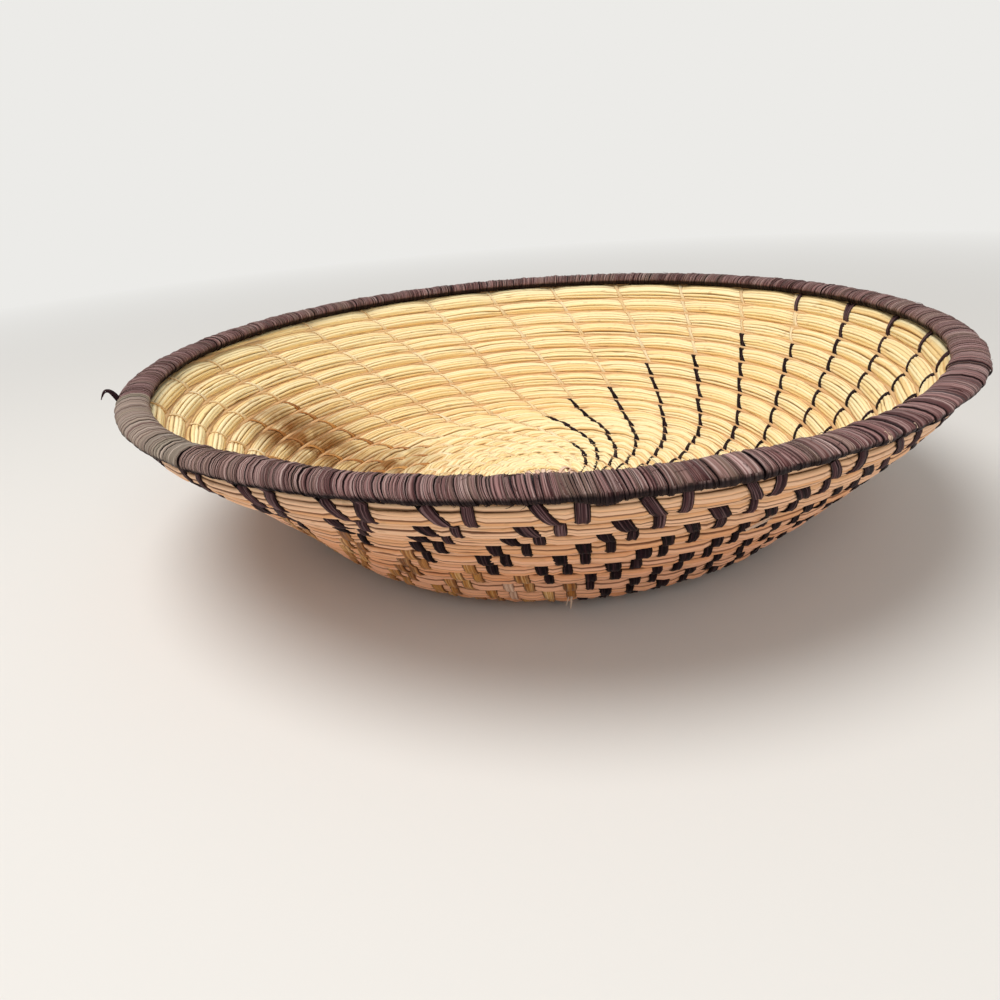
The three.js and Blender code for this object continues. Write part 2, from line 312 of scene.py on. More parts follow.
squeezePlan = {
    "inside": 0.4, "outside": 0.2, "innerEdges": 0.1, "outerEdges": 0.05, "bulge": 0.09,
    "innerReach": (5.5 * mm, 0.25), "outerReach": (2.6 * mm, 0.24),  # at most, and as a share of the field
}


# How tightly the stitches hold the bundle at a point of its section, from 0 to 1: a bell over the
# distance to the nearest stitch leg. Inside there is one leg for each crossing. Outside there is an
# upright leg on the column and a slanting leg that ends ahead of the column of the turn below.
def squeeze(turn, along, inward):
    azimuth = azimuthOf(turn)
    arc, width, thickness, pitch = coilAt(turn)
    field = columnField(azimuth, arc)

    def held(leg, atArc, reach, power, ahead=0):
        number = columnNumber(azimuth, atArc)
        here = crossingIndex(number)
        gap = (number - np.rint(number)) * field + ahead - crossingShift[leg][here]
        return np.exp(-(gap / np.minimum(reach[0], reach[1] * field)) ** power) * kept[here]

    inside = held(insideLeg, arc + along, squeezePlan["innerReach"], 2)
    upright = held(uprightLeg, arc, squeezePlan["outerReach"], 4)
    ahead = slantAhead(np.arctan2(inward / thickness, along / width), arc)
    slanting = held(slantingLeg, arc - pitch, squeezePlan["outerReach"], 4, ahead)
    return inside, np.maximum(upright, slanting)


# The bundle's section as the stitches leave it: drawn in by the squeeze, and a little fuller between
def squeezed(turn, along, inward):
    inside, outside = squeeze(turn, along, inward)
    drawn = np.where(inward > 0, inside * squeezePlan["inside"], outside * squeezePlan["outside"])
    bulge = 1 + squeezePlan["bulge"] * (1 - np.maximum(inside, outside))
    edges = 1 - np.where(inward > 0, inside * squeezePlan["innerEdges"], outside * squeezePlan["outerEdges"])
    return along * edges, inward * (1 - drawn) * np.where(inward > 0, bulge, 1)


tubeShift = 0.73


# One mesh from many tubes. rings holds a closed ring of points for each step of each tube, as an array
# of tubes x steps x sides x 3. An open tube gets a flat cap on each end. The UV runs along in metres
# and once round each tube, and the shift between tubes keeps any two from looking alike.
# The piece stays with the bowl, and takes the place of the solids that it dresses.
def tubePiece(name, rings, along, values, material, slotName, *nodes, closed=False):
    tubes, steps, sides, _ = rings.shape
    spans = steps if closed else steps - 1
    tube, step, side = np.meshgrid(np.arange(tubes), np.arange(spans), np.arange(sides), indexing="ij")
    nextStep, nextSide = (step + 1) % steps, (side + 1) % sides
    ringCorners = ((step, side), (nextStep, side), (nextStep, nextSide), (step, nextSide))
    quads = np.stack([(tube * steps + atStep) * sides + atSide for atStep, atSide in ringCorners], -1)
    points = rings.reshape(-1, 3)
    corner = points[quads]
    normals = np.cross(corner[..., 2, :] - corner[..., 0, :], corner[..., 3, :] - corner[..., 1, :])
    facing = (normals * (corner.mean(3) - rings.mean(2)[tube, step])).sum((1, 2, 3))
    flip = (facing < 0)[:, None]  # tubes whose rings run the other way round

    reach = np.concatenate([along, along[:, -1:] * 2 - along[:, -2:-1]], 1) if closed else along
    uFrom, uTo = reach[tube, step], reach[tube, step + 1]
    u = np.stack([uFrom, uTo, uTo, uFrom], -1) + tube[..., None] * tubeShift
    v = np.stack([side, side, side + 1, side + 1], -1) / sides
    uv = np.stack([u, v], -1)
    uv = np.where(flip[..., None, None, None], uv[..., ::-1, :], uv)
    quads = np.where(flip[..., None, None], quads[..., ::-1], quads).reshape(-1, 4)
    loops, totals, loopUv = [quads.ravel()], [np.full(len(quads), 4)], [uv.reshape(-1, 2)]
    if not closed:
        each = np.arange(tubes)[:, None] * steps * sides + np.arange(sides)
        for cap, turned in ((each, ~flip), (each + (steps - 1) * sides, flip)):
            cap = np.where(turned, cap[:, ::-1], cap)
            loops.append(cap.ravel())
            totals.append(np.full(tubes, sides))
            loopUv.append(np.zeros((tubes * sides, 2)))
    loops, totals, loopUv = np.concatenate(loops), np.concatenate(totals), np.concatenate(loopUv)

    mesh = bpy.data.meshes.new(name)
    mesh.vertices.add(len(points))
    mesh.vertices.foreach_set("co", points.ravel())
    mesh.loops.add(len(loops))
    mesh.loops.foreach_set("vertex_index", loops)
    mesh.polygons.add(len(totals))
    mesh.polygons.foreach_set("loop_start", np.concatenate([[0], np.cumsum(totals)[:-1]]))
    mesh.polygons.foreach_set("use_smooth", np.arange(len(totals)) < len(quads))
    mesh.uv_layers.new(name="strand").data.foreach_set("uv", loopUv.ravel())
    for valueName, value in values.items():
        layer = mesh.attributes.new(valueName, "FLOAT", "POINT")
        layer.data.foreach_set("value", np.broadcast_to(value, rings.shape[:3]).ravel().astype(np.float32))
    mesh.update(calc_edges=True)
    mesh.materials.append(material)
    piece = addObject(name, mesh)
    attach(piece, "root")
    if nodes:
        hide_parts(*nodes)
    print(f"{name}: {len(quads) * 2} triangles")


# A colour written as six hex digits, as the linear values that a shader takes
def paint(colour):
    parts = [int(colour[at:at + 2], 16) / 255 for at in (0, 2, 4)]
    return [part / 12.92 if part <= 0.04045 else ((part + 0.055) / 1.055) ** 2.4 for part in parts] + [1]


# Materials. A tree is built from short helpers so that each finish reads as a list of its layers.
class Finish:
    def __init__(self, name):
        self.material = bpy.data.materials.new(name)
        self.material.use_nodes = True
        self.tree = self.material.node_tree
        self.shader = self.tree.nodes["Principled BSDF"]

    def feed(self, socket, value):
        if isinstance(value, bpy.types.NodeSocket):
            self.tree.links.new(value, socket)
        else:
            socket.default_value = value

    # Inputs by name, with _ for a space
    def feedAll(self, node, inputs):
        for key, value in inputs.items():
            self.feed(node.inputs[key.replace("_", " ")], value)

    def surface(self, **inputs):
        self.feedAll(self.shader, inputs)

    def node(self, kind, settings=None, **inputs):
        made = self.tree.nodes.new(kind)
        for key, value in (settings or {}).items():
            setattr(made, key, value)
        self.feedAll(made, inputs)
        return made

    def attribute(self, name):
        return self.node("ShaderNodeAttribute", {"attribute_name": name}).outputs["Fac"]

    def place(self):
        return self.node("ShaderNodeTexCoord").outputs["Object"]

    # Noise over the strand's own UV, drawn out along the strand
    def streaks(self, lengthways, across, detail=3.0):
        uv = self.node("ShaderNodeUVMap", {"uv_map": "strand"}).outputs["UV"]
        scaled = self.node("ShaderNodeMapping", Vector=uv, Scale=(lengthways, across, 1))
        return self.node("ShaderNodeTexNoise", {"noise_dimensions": "2D"}, Vector=scaled.outputs[0],
                         Scale=1.0, Detail=detail, Roughness=0.6).outputs["Fac"]

    def blotches(self, scale):
        return self.node("ShaderNodeTexNoise", Vector=self.place(), Scale=scale, Detail=2.0).outputs["Fac"]

    def heightAbove(self):
        return self.node("ShaderNodeSeparateXYZ", Vector=self.place()).outputs["Z"]

    def ramp(self, value, *stops):
        made = self.node("ShaderNodeValToRGB", Fac=value)
        elements = made.color_ramp.elements
        while len(elements) < len(stops):
            elements.new(0.5)
        for element, (position, colour) in zip(elements, stops):
            element.position = position
            element.color = paint(colour)
        return made.outputs["Color"]

    def span(self, value, low, high, toLow=0.0, toHigh=1.0):
        made = self.node("ShaderNodeMapRange", Value=value)
        for number, limit in enumerate((low, high, toLow, toHigh), 1):
            made.inputs[number].default_value = limit
        return made.outputs[0]

    def math(self, operation, first, second):
        made = self.node("ShaderNodeMath", {"operation": operation})
        self.feed(made.inputs[0], first)
        self.feed(made.inputs[1], second)
        return made.outputs[0]

    def plus(self, first, second):
        return self.math("ADD", first, second)

    def times(self, first, second):
        return self.math("MULTIPLY", first, second)

    def mix(self, share, first, second, blend="MIX"):
        made = self.node("ShaderNodeMix", {"data_type": "RGBA", "blend_type": blend})
        self.feed(made.inputs[0], share)
        for number, value in ((6, first), (7, second)):
            self.feed(made.inputs[number], paint(value) if isinstance(value, str) else value)
        return made.outputs[2]

    def bump(self, height, strength, distance):
        made = self.node("ShaderNodeBump", Height=height, Strength=strength, Distance=distance)
        self.surface(Normal=made.outputs[0])


# Grass stems: their tone runs from brown to pale. The hollow is yellower and the outside redder, partly the
# straw's own colour and partly a painted reddish reflection; low down the outside is darker and redder still,
# as painted shade and reflection.
# The grooves between stems are darkened as painted shade
straw = {
    "pale": "fff3d9", "golden": "fbe5bb", "tan": "eccb9d", "brown": "c09366",
    # The outer tint is partly the straw's own colour and partly a painted reddish reflection
    "innerTint": "fff8d4", "outerTint": "fac8ac", "tintShare": 0.8,
    # Crevice colours: painted shade in the grooves between stems, lighter in the hollow
    "innerCreviceShade": "c4985c", "outerCreviceShade": "74422a",
    "brownPatch": "88633f", "lowShadeTint": "efc8c2", "lowFrom": 52 * mm, "lowFull": 24 * mm, "lowShare": 0.55,
    # streaks, in how many there are to a metre and across a stem, and the shares of the tone
    "fine": (70, 9), "coarse": (9, 3.1), "byStem": 0.62, "byCoarse": 0.3, "byFine": 0.28,
    "flecks": (190, 2.3, 1.0), "fleckShare": 0.35, "clouds": 110,
    # what each span takes from where to where, and gives from what to what
    "fleckSpan": (0.68, 0.76), "cloudSpan": (0.25, 0.55, 0.35, 1), "creviceShadeSpan": (0.16, 0.27, 0.0, 0.75),
    "insideCreviceShade": 0.6, "roughSpan": (0.3, 0.75, 0.42, 0.66), "specular": 0.3,
    "bumpByCoarse": 0.6, "bump": (0.35, 0.12 * mm),  # strength and depth
}


def strawFinish(colours):
    finish = Finish("grassStraw")
    inside = finish.attribute("inside")
    fine = finish.streaks(*colours["fine"])
    coarse = finish.streaks(*colours["coarse"])
    own = finish.times(finish.attribute("tone"), colours["byStem"])
    shade = finish.plus(own, finish.times(coarse, colours["byCoarse"]))
    shade = finish.plus(shade, finish.times(fine, colours["byFine"]))
    base = finish.ramp(shade, (0.08, colours["brown"]), (0.22, colours["tan"]),
                       (0.44, colours["golden"]), (0.74, colours["pale"]))
    side = finish.mix(inside, colours["outerTint"], colours["innerTint"])
    base = finish.mix(colours["tintShare"], base, side, "MULTIPLY")
    # Painted shade and painted reddish reflection: low on the outside the colour is multiplied towards a
    # darker pink
    height = finish.heightAbove()
    lowShade = finish.span(height, colours["lowFrom"], colours["lowFull"], 0, colours["lowShare"])
    lowShade = finish.times(lowShade, finish.span(inside, 0, 1, 1.0, 0.0))
    base = finish.mix(lowShade, base, colours["lowShadeTint"], "MULTIPLY")
    fleck = finish.span(finish.streaks(*colours["flecks"]), *colours["fleckSpan"])
    base = finish.mix(finish.times(fleck, colours["fleckShare"]), base, colours["brown"])
    cloudy = finish.span(finish.blotches(colours["clouds"]), *colours["cloudSpan"])
    # Darker brown over the patch, broken into soft clouds
    brownPatch = finish.times(finish.attribute("brownPatch"), cloudy)
    base = finish.mix(brownPatch, base, colours["brownPatch"], "MULTIPLY")
    # Painted shade: the sides of stems that face into the bundle darken towards the crevice colour
    deep = finish.span(finish.attribute("creviceShade"), *colours["creviceShadeSpan"])
    deep = finish.times(deep, finish.span(inside, 0, 1, 1.0, colours["insideCreviceShade"]))
    base = finish.mix(deep, base, finish.mix(inside, colours["outerCreviceShade"], colours["innerCreviceShade"]))
    rough = finish.span(fine, *colours["roughSpan"])
    finish.surface(Base_Color=base, Roughness=rough, Specular_IOR_Level=colours["specular"])
    finish.bump(finish.plus(fine, finish.times(coarse, colours["bumpByCoarse"])), *colours["bump"])
    return finish.material


# Raffia: colours from dark to light, the glint of raised fibres, the colour that odd strips have, roughness,
# specular level, how finely the fibres lie across the strip, and how much of the tone is the strip's own
raffias = {
    "darkRaffia": ("080103", "210c12", "56383b", "8f7070", "2b1a17", 0.5, 0.08, 6, 0.45),
    "paleRaffia": ("cf9f66", "ecce98", "f8e4b8", "fff3d8", "e8c690", 0.58, 0.3, 6, 0.45),
    "ochreRaffia": ("5f3519", "a8682c", "d0954a", "ecc48a", "8a5a30", 0.42, 0.4, 6, 0.45),
    "rimRaffia": ("12050a", "5a3635", "9a7571", "c6aca5", "837060", 0.5, 0.1, 5, 0.3),
    "bareFibre": ("b5846c", "ddb79b", "f0d5be", "f7e8d9", "e4c4ac", 0.6, 0.2, 6, 0.45),
    "fadedRaffia": ("382a24", "746056", "9c8677", "bba89a", "736c59", 0.5, 0.25, 4, 0.45),
}
# The layers that they share: streaks to a metre, and spans as for straw
fibreLayers = {
    "fibre": 24, "fibreSpan": (0.28, 0.72), "hair": 45, "hairFiner": 2.4, "oddShare": 0.7,
    "glintSpan": (0.54, 0.64), "glintByTone": (0.15, 0.95), "darkHairSpan": (0.38, 0.3, 0, 0.6),
    "underShadeSpan": (0.4, 0.7, 0, 0.94), "creviceShadeSpan": (0.1, 0.8, 0, 0.95),
    "rougher": 0.12, "bump": (0.7, 0.2 * mm),
}


# Painted shade: the undersides of the rim's wraps and the edges of strips and wraps are mixed towards the
# dark colour
def raffiaFinish(name, dark, middle, light, glint, odd, roughness, specular, fibres, byStrip):
    layers = fibreLayers
    finish = Finish(name)
    tone = finish.attribute("tone")
    fibre = finish.span(finish.streaks(layers["fibre"], fibres, 4.0), *layers["fibreSpan"])
    hair = finish.streaks(layers["hair"], fibres * layers["hairFiner"], 2.0)
    shade = finish.plus(finish.times(tone, byStrip), finish.times(fibre, 1 - byStrip))
    base = finish.ramp(shade, (0.12, dark), (0.45, middle), (0.82, light))
    base = finish.mix(finish.times(finish.attribute("odd"), layers["oddShare"]), base, odd)
    toneShare = finish.span(tone, 0, 1, *layers["glintByTone"])
    base = finish.mix(finish.times(finish.span(hair, *layers["glintSpan"]), toneShare), base, glint)
    for share in (finish.span(hair, *layers["darkHairSpan"]),
                  finish.span(finish.attribute("underShade"), *layers["underShadeSpan"]),
                  finish.span(finish.attribute("creviceShade"), *layers["creviceShadeSpan"])):
        base = finish.mix(share, base, dark)
    rough = finish.span(fibre, 0, 1, roughness - layers["rougher"], roughness + layers["rougher"])
    finish.surface(Base_Color=base, Roughness=rough, Specular_IOR_Level=specular)
    finish.bump(finish.plus(fibre, hair), *layers["bump"])
    return finish.material


grassStraw = strawFinish(straw)
darkRaffia, paleRaffia, ochreRaffia, rimRaffia, bareFibre, fadedRaffia = [
    raffiaFinish(name, *values) for name, values in raffias.items()
]
print("materials made")

# The grass bundle: stems side by side round an oval, over a core that closes the gaps between them
bundle = {
    "stems": 15, "stemRadius": 0.79 * mm, "sides": 6,
    "shortest": 90 * mm, "longest": 260 * mm,  # how far one stem runs before another takes over
    "joinLength": 3 * mm, "joinThinner": 0.4,  # stems taper this near to a join, by this share
    # a stem sways and swells in two waves each: share, and the way over which it turns by one radian
    "sway": 0.12, "swayWaves": ((0.5, 31 * mm), (0.25, 12 * mm)),
    "swell": 0.1, "swellWaves": ((1, 45 * mm), (0.4, 8 * mm)),
    "toneCurve": 0.8,  # under 1 for more pale stems than dark ones
    "thin": 5 * mm,  # where the coil is narrower than this its stems and core get smaller with it
    "inset": 0.98, "leastShare": 0.2,  # of a stem's radius, and of the coil's smaller side
    "insideBlend": 0.8 * mm,  # half the width of the change from the outside's colour to the hollow's
    "coreInset": 1.1 * mm, "coreSides": 6, "coreSteps": 3300,
    # the groove above each turn holds loose ends and chaff, less of it under the rim
    "grooveAlong": 1.0 * mm, "grooveInward": 1.5 * mm, "grooveUnderRim": 0.45,
}
stemGroups = [  # name, last turn and steps for each turn
    ("grassStems_base", 7, 110), ("grassStems_bend", 11, 190), ("grassStems_lowerWall", 14.4, 250),
    ("grassStems_middleWall", 17.4, 290), ("grassStems_upperWall", 20.2, 320),
    ("grassStems_topTurns", wholeTurns + 0.985, 360),
]
stemCount = bundle["stems"]
draw = np.random.default_rng(7)
stemJoins = []
for _ in range(stemCount):
    joinCount = int(tableDistance[-1] / bundle["shortest"]) + 2
    lengths = draw.uniform(bundle["shortest"], bundle["longest"], joinCount)
    stemJoins.append(np.cumsum(lengths) - draw.uniform(0, bundle["longest"]))
stemTones = draw.uniform(0, 1, (stemCount, joinCount + 1)) ** bundle["toneCurve"]
stemLean = draw.normal(0, bundle["sway"] / 2, (stemCount, joinCount))
swayPhase = draw.uniform(0, fullTurn, (stemCount, 4))


# Brown patch low on the left of the hollow, as a share: three soft ovals, each with its azimuth and arc
# and its widths in both, in radians and metres
brownPatchOvals = [(3.03, 0.124, 0.16, 0.012), (2.88, 0.106, 0.22, 0.017), (2.8, 0.073, 0.3, 0.015)]


def brownPatchAt(turn, inward):
    arc = coilAt(turn)[0]
    patch = 0
    for middle, along, wide, high in brownPatchOvals:
        away = (azimuthOf(turn) - middle + np.pi) % fullTurn - np.pi
        patch = patch + np.exp(-(away / wide) ** 2 - ((arc - along) / high) ** 2)
    return np.clip(patch, 0, 1) * (inward > 0)


def grassPiece(name, rings, reach, values):
    tubePiece(name, rings, reach, values, grassStraw, "grass", "foundation_coil")


# Stem number s stands at the angle a = 2 pi s / stems plus its sway, on an oval that leaves room for
# its own radius inside the bundle's oval
def stemPiece(name, turns):
    distance = distanceAt(turns)
    width, thickness = coilAt(turns)[1:3]
    sway, tone, thin = [], [], []
    for joins, tones, leans, phase in zip(stemJoins, stemTones, stemLean, swayPhase):
        nearest = np.abs(distance[:, None] - joins[None, :]).min(1)
        swing, swell = [sum(share * np.sin(distance / over + start)
                            for (share, over), start in zip(bundle[waves], starts))
                        for waves, starts in (("swayWaves", phase[:2]), ("swellWaves", phase[2:]))]
        taper = 1 - bundle["joinThinner"] * np.exp(-(nearest / bundle["joinLength"]) ** 2)
        sway.append(np.interp(distance, joins, leans) + bundle["sway"] * swing)
        tone.append(tones[np.searchsorted(joins, distance)])
        thin.append((1 + bundle["swell"] * swell) * taper)
    tone = np.array(tone)[..., None]
    most = np.minimum(bundle["stemRadius"], bundle["leastShare"] * np.minimum(width, thickness))
    radius = (most * np.array(thin))[..., None]
    angle = evenAngles(stemCount)[:, None] + np.array(sway)
    inset = bundle["inset"] * bundle["stemRadius"]
    halfWidth, halfThickness = [size / 2 - inset * np.minimum(1, size / bundle["thin"])
                                for size in (width, thickness)]
    facing = np.pi + evenAngles(bundle["sides"])  # the seam is on the hidden side
    along = (halfWidth * np.cos(angle))[..., None] + radius * np.cos(facing + angle[..., None])
    inward = (halfThickness * np.sin(angle))[..., None] + radius * np.sin(facing + angle[..., None])
    turn = np.broadcast_to(turns[None, :, None], along.shape)
    along, inward = squeezed(turn, along, inward)
    values = {
        "tone": tone, "inside": 1 / (1 + np.exp(-inward / bundle["insideBlend"])),
        "creviceShade": (1 - np.cos(facing)) / 2, "brownPatch": brownPatchAt(turn, inward),
    }
    grassPiece(name, sectionPoint(turn, along, inward), np.broadcast_to(distance, angle.shape), values)


# The core is the bundle's oval without its stems, and the groove's filling a small oval on the turn's edge
def coreAndGroove():
    turns = np.linspace(bowl["firstTurn"], wholeTurns + 0.98, bundle["coreSteps"])
    around = evenAngles(bundle["coreSides"])
    arc, width, thickness, _ = coilAt(turns)
    smaller = np.minimum(1, width / bundle["thin"])
    reach = distanceAt(turns)[None]
    # The core and the groove's filling are partly darkened towards the crevice colour, as painted shade
    values = {"tone": 0.3, "inside": 0.5, "creviceShade": 0.23, "brownPatch": 0.0}
    halfWidth, halfThickness = [size / 2 - bundle["coreInset"] * smaller for size in (width, thickness)]
    turn = np.broadcast_to(turns[:, None], (len(turns), len(around)))
    oval = squeezed(turn, halfWidth[:, None] * np.cos(around), halfThickness[:, None] * np.sin(around))
    grassPiece("grassCore", sectionPoint(turn, *oval)[None], reach, values)

    touchesRim = arc + width / 2 > wallArc - 0.1 * mm
    size = (np.where(touchesRim, bundle["grooveUnderRim"], 1) * smaller)[:, None]
    along = (width / 2)[:, None] + bundle["grooveAlong"] * np.cos(around) * size
    inward = bundle["grooveInward"] * np.sin(around) * size
    grassPiece("grooveFill", sectionPoint(turn, along, inward)[None], reach, values)


# The bundle's first end is curled up in the middle of the base: a few stems over each other, each on a
# spiral whose radius grows evenly. A stem starts further round the higher it lies, and sags as it goes.
curl = {
    "middle": (-1.4 * mm, 1.1 * mm), "radius": 5.4 * mm, "turns": 3.7, "heights": (1.1, 2.5, 3.9, 5.3),
    "stemRadius": 0.85 * mm, "steps": 110, "sides": 6, "sag": 1.2 * mm, "turnHeight": 7 * mm,
    "toneByHeight": 120,  # for each metre
}


def coilStart():
    way = np.linspace(0.02, 1, curl["steps"])[None, :, None]
    up = np.array(curl["heights"])[:, None, None] * mm
    azimuth = fullTurn * (curl["turns"] * way + up / curl["turnHeight"])
    side = evenAngles(curl["sides"])
    radius = curl["radius"] * way + curl["stemRadius"] * np.cos(side)
    height = up - curl["sag"] * way ** 2 + curl["stemRadius"] * np.sin(side)
    rings = roundPoint(radius, azimuth, np.maximum(height, bowl["rest"])) + [*curl["middle"], 0]
    reach = np.pi * curl["turns"] * curl["radius"] * np.broadcast_to(way[..., 0] ** 2, rings.shape[:2])
    values = {"tone": up * curl["toneByHeight"], "inside": 0.7, "creviceShade": 0.0, "brownPatch": 0.0}
    grassPiece("coilStart", rings, reach, values)


start = bowl["firstTurn"]
for name, end, perTurn in stemGroups:
    stemPiece(name, np.linspace(start, end, int(round((end - start) * perTurn)) + 1))
    start = end
coreAndGroove()
coilStart()
print("grass coil made")

# Raffia strips. A strip follows a path of turns and angles round the section. Its width changes along a
# stitch: an inner leg is drawn thin over the turn's crown, and an outer leg is broad where it slants.
strip = {
    "width": 3.0 * mm, "innerWidth": 2.5 * mm, "thickness": 0.42 * mm, "lift": 0.06 * mm,
    "outerLift": 0.22 * mm, "tieLift": 0.3 * mm, "mostOfField": 0.42, "relief": (0.6, 1.25),
    "leastHeight": 0.03 * mm, "leastMiddle": 0.45 * mm,  # over the floor: any point, and its middle line
    "leastCoil": 3.4 * mm,  # narrower turns have no stitches
    "own": (0.82, 1.14), "waver": (0.93, 1.07), "tones": (0.15, 1),  # shares of the width, and tones
    # The dark stitches' tone by row: painted shade that deepens row by row below the rim
    "broadFromRow": 0.7, "rimTone": 0.95, "shadeByRow": 0.4, "rowTones": (0.7, 0.4),
    # degrees round the section, from the edge towards the rim: the inner leg goes up over the turn, the
    # slanting leg goes over it outside, and the upright leg goes down over the turn below
    "inner": (188, 172, 150, 125, 98, 70, 45, 22, 4, -8),
    "over": (10, -10, -32, -55, -80, -104, -128, -150),
    "down": (-28, -48, -75, -103, -130, -154, -174, -190), "fall": 0.6 * mm,
}
innerShape = np.array([1.5, 1.4, 1.15, 0.85, 0.64, 0.64, 0.85, 1.15, 1.4, 1.5])
outerShape = np.concatenate([np.linspace(0.55, 0.1, 8), np.zeros(8)])
stripSection = np.array([[-0.5, -0.2], [-0.3, 0.85], [0.02, 0.6], [0.3, 1.0], [0.5, -0.2]])
# Painted shade along the strip's two edges
stripEdgeShade = np.array([0.8, 0, 0, 0, 0.8])
evenRelief = np.ones((1, len(stripSection)))


# Point and outward direction on the squeezed bundle. The angle is 0 on the edge towards the rim,
# a quarter turn on the inner face and three quarters on the outer face.
def bundleSurface(turn, angle):
    width, thickness = coilAt(turn)[1:3]
    along, inward = squeezed(turn, width / 2 * np.cos(angle), thickness / 2 * np.sin(angle))
    alongWay, inwardWay = sectionDirections(turn)
    out = alongWay * (np.cos(angle) / width)[..., None] + inwardWay * (np.sin(angle) / thickness)[..., None]
    return sectionPoint(turn, along, inward, strip["leastMiddle"]), unit(out)


def wayAlong(middle):
    return np.cumsum(np.linalg.norm(np.diff(middle, axis=1, prepend=middle[:, :1]), axis=-1), 1)


# Rings of a strip: at each step its section spans the direction across the path and the one outward
def stripRings(middle, out, width, thickness, relief=evenRelief):
    tangent = unit(np.gradient(middle, axis=1))
    across = unit(np.cross(out, tangent))
    out = np.cross(tangent, across)
    side = stripSection[:, 0] * width[..., None]
    rise = stripSection[:, 1] * relief[:, None, :] * np.broadcast_to(thickness, width.shape)[..., None]
    rings = middle[:, :, None] + across[:, :, None] * side[..., None] + out[:, :, None] * rise[..., None]
    rings[..., 2] = np.maximum(rings[..., 2], strip["leastHeight"])
    return rings, wayAlong(middle)


# Strips as a hand pulls them: each has its own width, which wavers along it, its own relief and tone
def pulledStrips(pull, plan, middle, out, lift, usual, most=np.inf):
    count, steps = middle.shape[:2]
    width = usual * pull.uniform(*plan["own"], (count, 1)) * pull.uniform(*plan["waver"], (count, steps))
    relief = pull.uniform(*strip["relief"], (count, len(stripSection)))
    lifted = middle + out * (strip["lift"] + lift)
    rings, reach = stripRings(lifted, out, np.minimum(width, most), strip["thickness"], relief)
    return rings, reach, pull.uniform(*plan["tones"], (count, 1, 1))


# How many turns a distance sideways is, nearer the centre than 2 mm no more than there
def turnShift(turn, metres):
    return metres / (fullTurn * np.maximum(wallAt(coilAt(turn)[0])[0], 2 * mm))


# Turn at which a column passes over a point of the section that lies off the middle of the turn
def onColumn(turn, along):
    arc = coilAt(turn)[0]
    return turn + (leanAt(arc) - leanAt(arc + along)) / fullTurn


# The same angles round the section, given in degrees, for each of a number of strips
def angleRows(degrees, count):
    return np.radians(np.array(degrees))[None] * np.ones((count, 1))


# Which raffia a stitch is made of. The dark ones fill a band of rows, counted from the rim, that
# depends on the azimuth of the column at the rim, in degrees.
darkBand = {
    "azimuth": [-180, -150, -127, -104, -89, -75, -62, -50, 20, 31, 45, 60, 75, 90, 108, 125, 140],
    "fromRow": [0, 0, 0, 0, 0, 0, 0, 0, 0, 2.9, 3.4, 5.2, 6.4, 8.0, 9.3, 13.5, 23],
    "toRow": [0, 0, 2.4, 3.2, 4.6, 6.2, 8.6, 22, 22, 22, 22, 22, 22, 22, 22, 22, 22],
}
ochrePatch = {"from": -175, "to": -62, "belowRow": 2, "share": 0.94}
columnEven = stitchPlan["first"] + crossings % columnCount * fullTurn / columnCount
columnRim = degreesFrom(columnEven + stitchPlan["crowding"] * np.sin(columnEven - stitchPlan["widest"]))
crossingRow = (wallArc - coilAt(crossingTurn)[0]) / bowl["turnSpacing"]
rowFrom = np.interp(columnRim, darkBand["azimuth"], darkBand["fromRow"])
rowTo = np.interp(columnRim, darkBand["azimuth"], darkBand["toRow"], right=0)  # none beyond the last
isDark = (crossingRow > rowFrom) & (crossingRow < rowTo)
isOchre = ~isDark & (draw.uniform(0, 1, len(crossings)) < ochrePatch["share"])
crossingDegrees = degreesFrom(azimuthOf(crossingTurn))
isOchre &= (crossingDegrees > ochrePatch["from"]) & (crossingDegrees < ochrePatch["to"])
isOchre &= crossingRow > ochrePatch["belowRow"]
onBrownPatch = ~isDark & (brownPatchAt(crossingTurn, 1) > 0.2)

belowTurn = np.interp(crossings - columnCount, tableNumber, tableTurns)
wideEnough = coilAt(crossingTurn)[1] > strip["leastCoil"]
whole = kept & (crossings - columnCount >= firstCrossing) & wideEnough


# Path of the slanting legs over a turn, whose columns of the turn below cross it at that turn
def slantPathFrom(turn, under, angle):
    shift = crossingShift[slantingLeg][under][:, None] - slantAhead(angle, coilAt(turn)[0])
    return turn + turnShift(turn, shift)


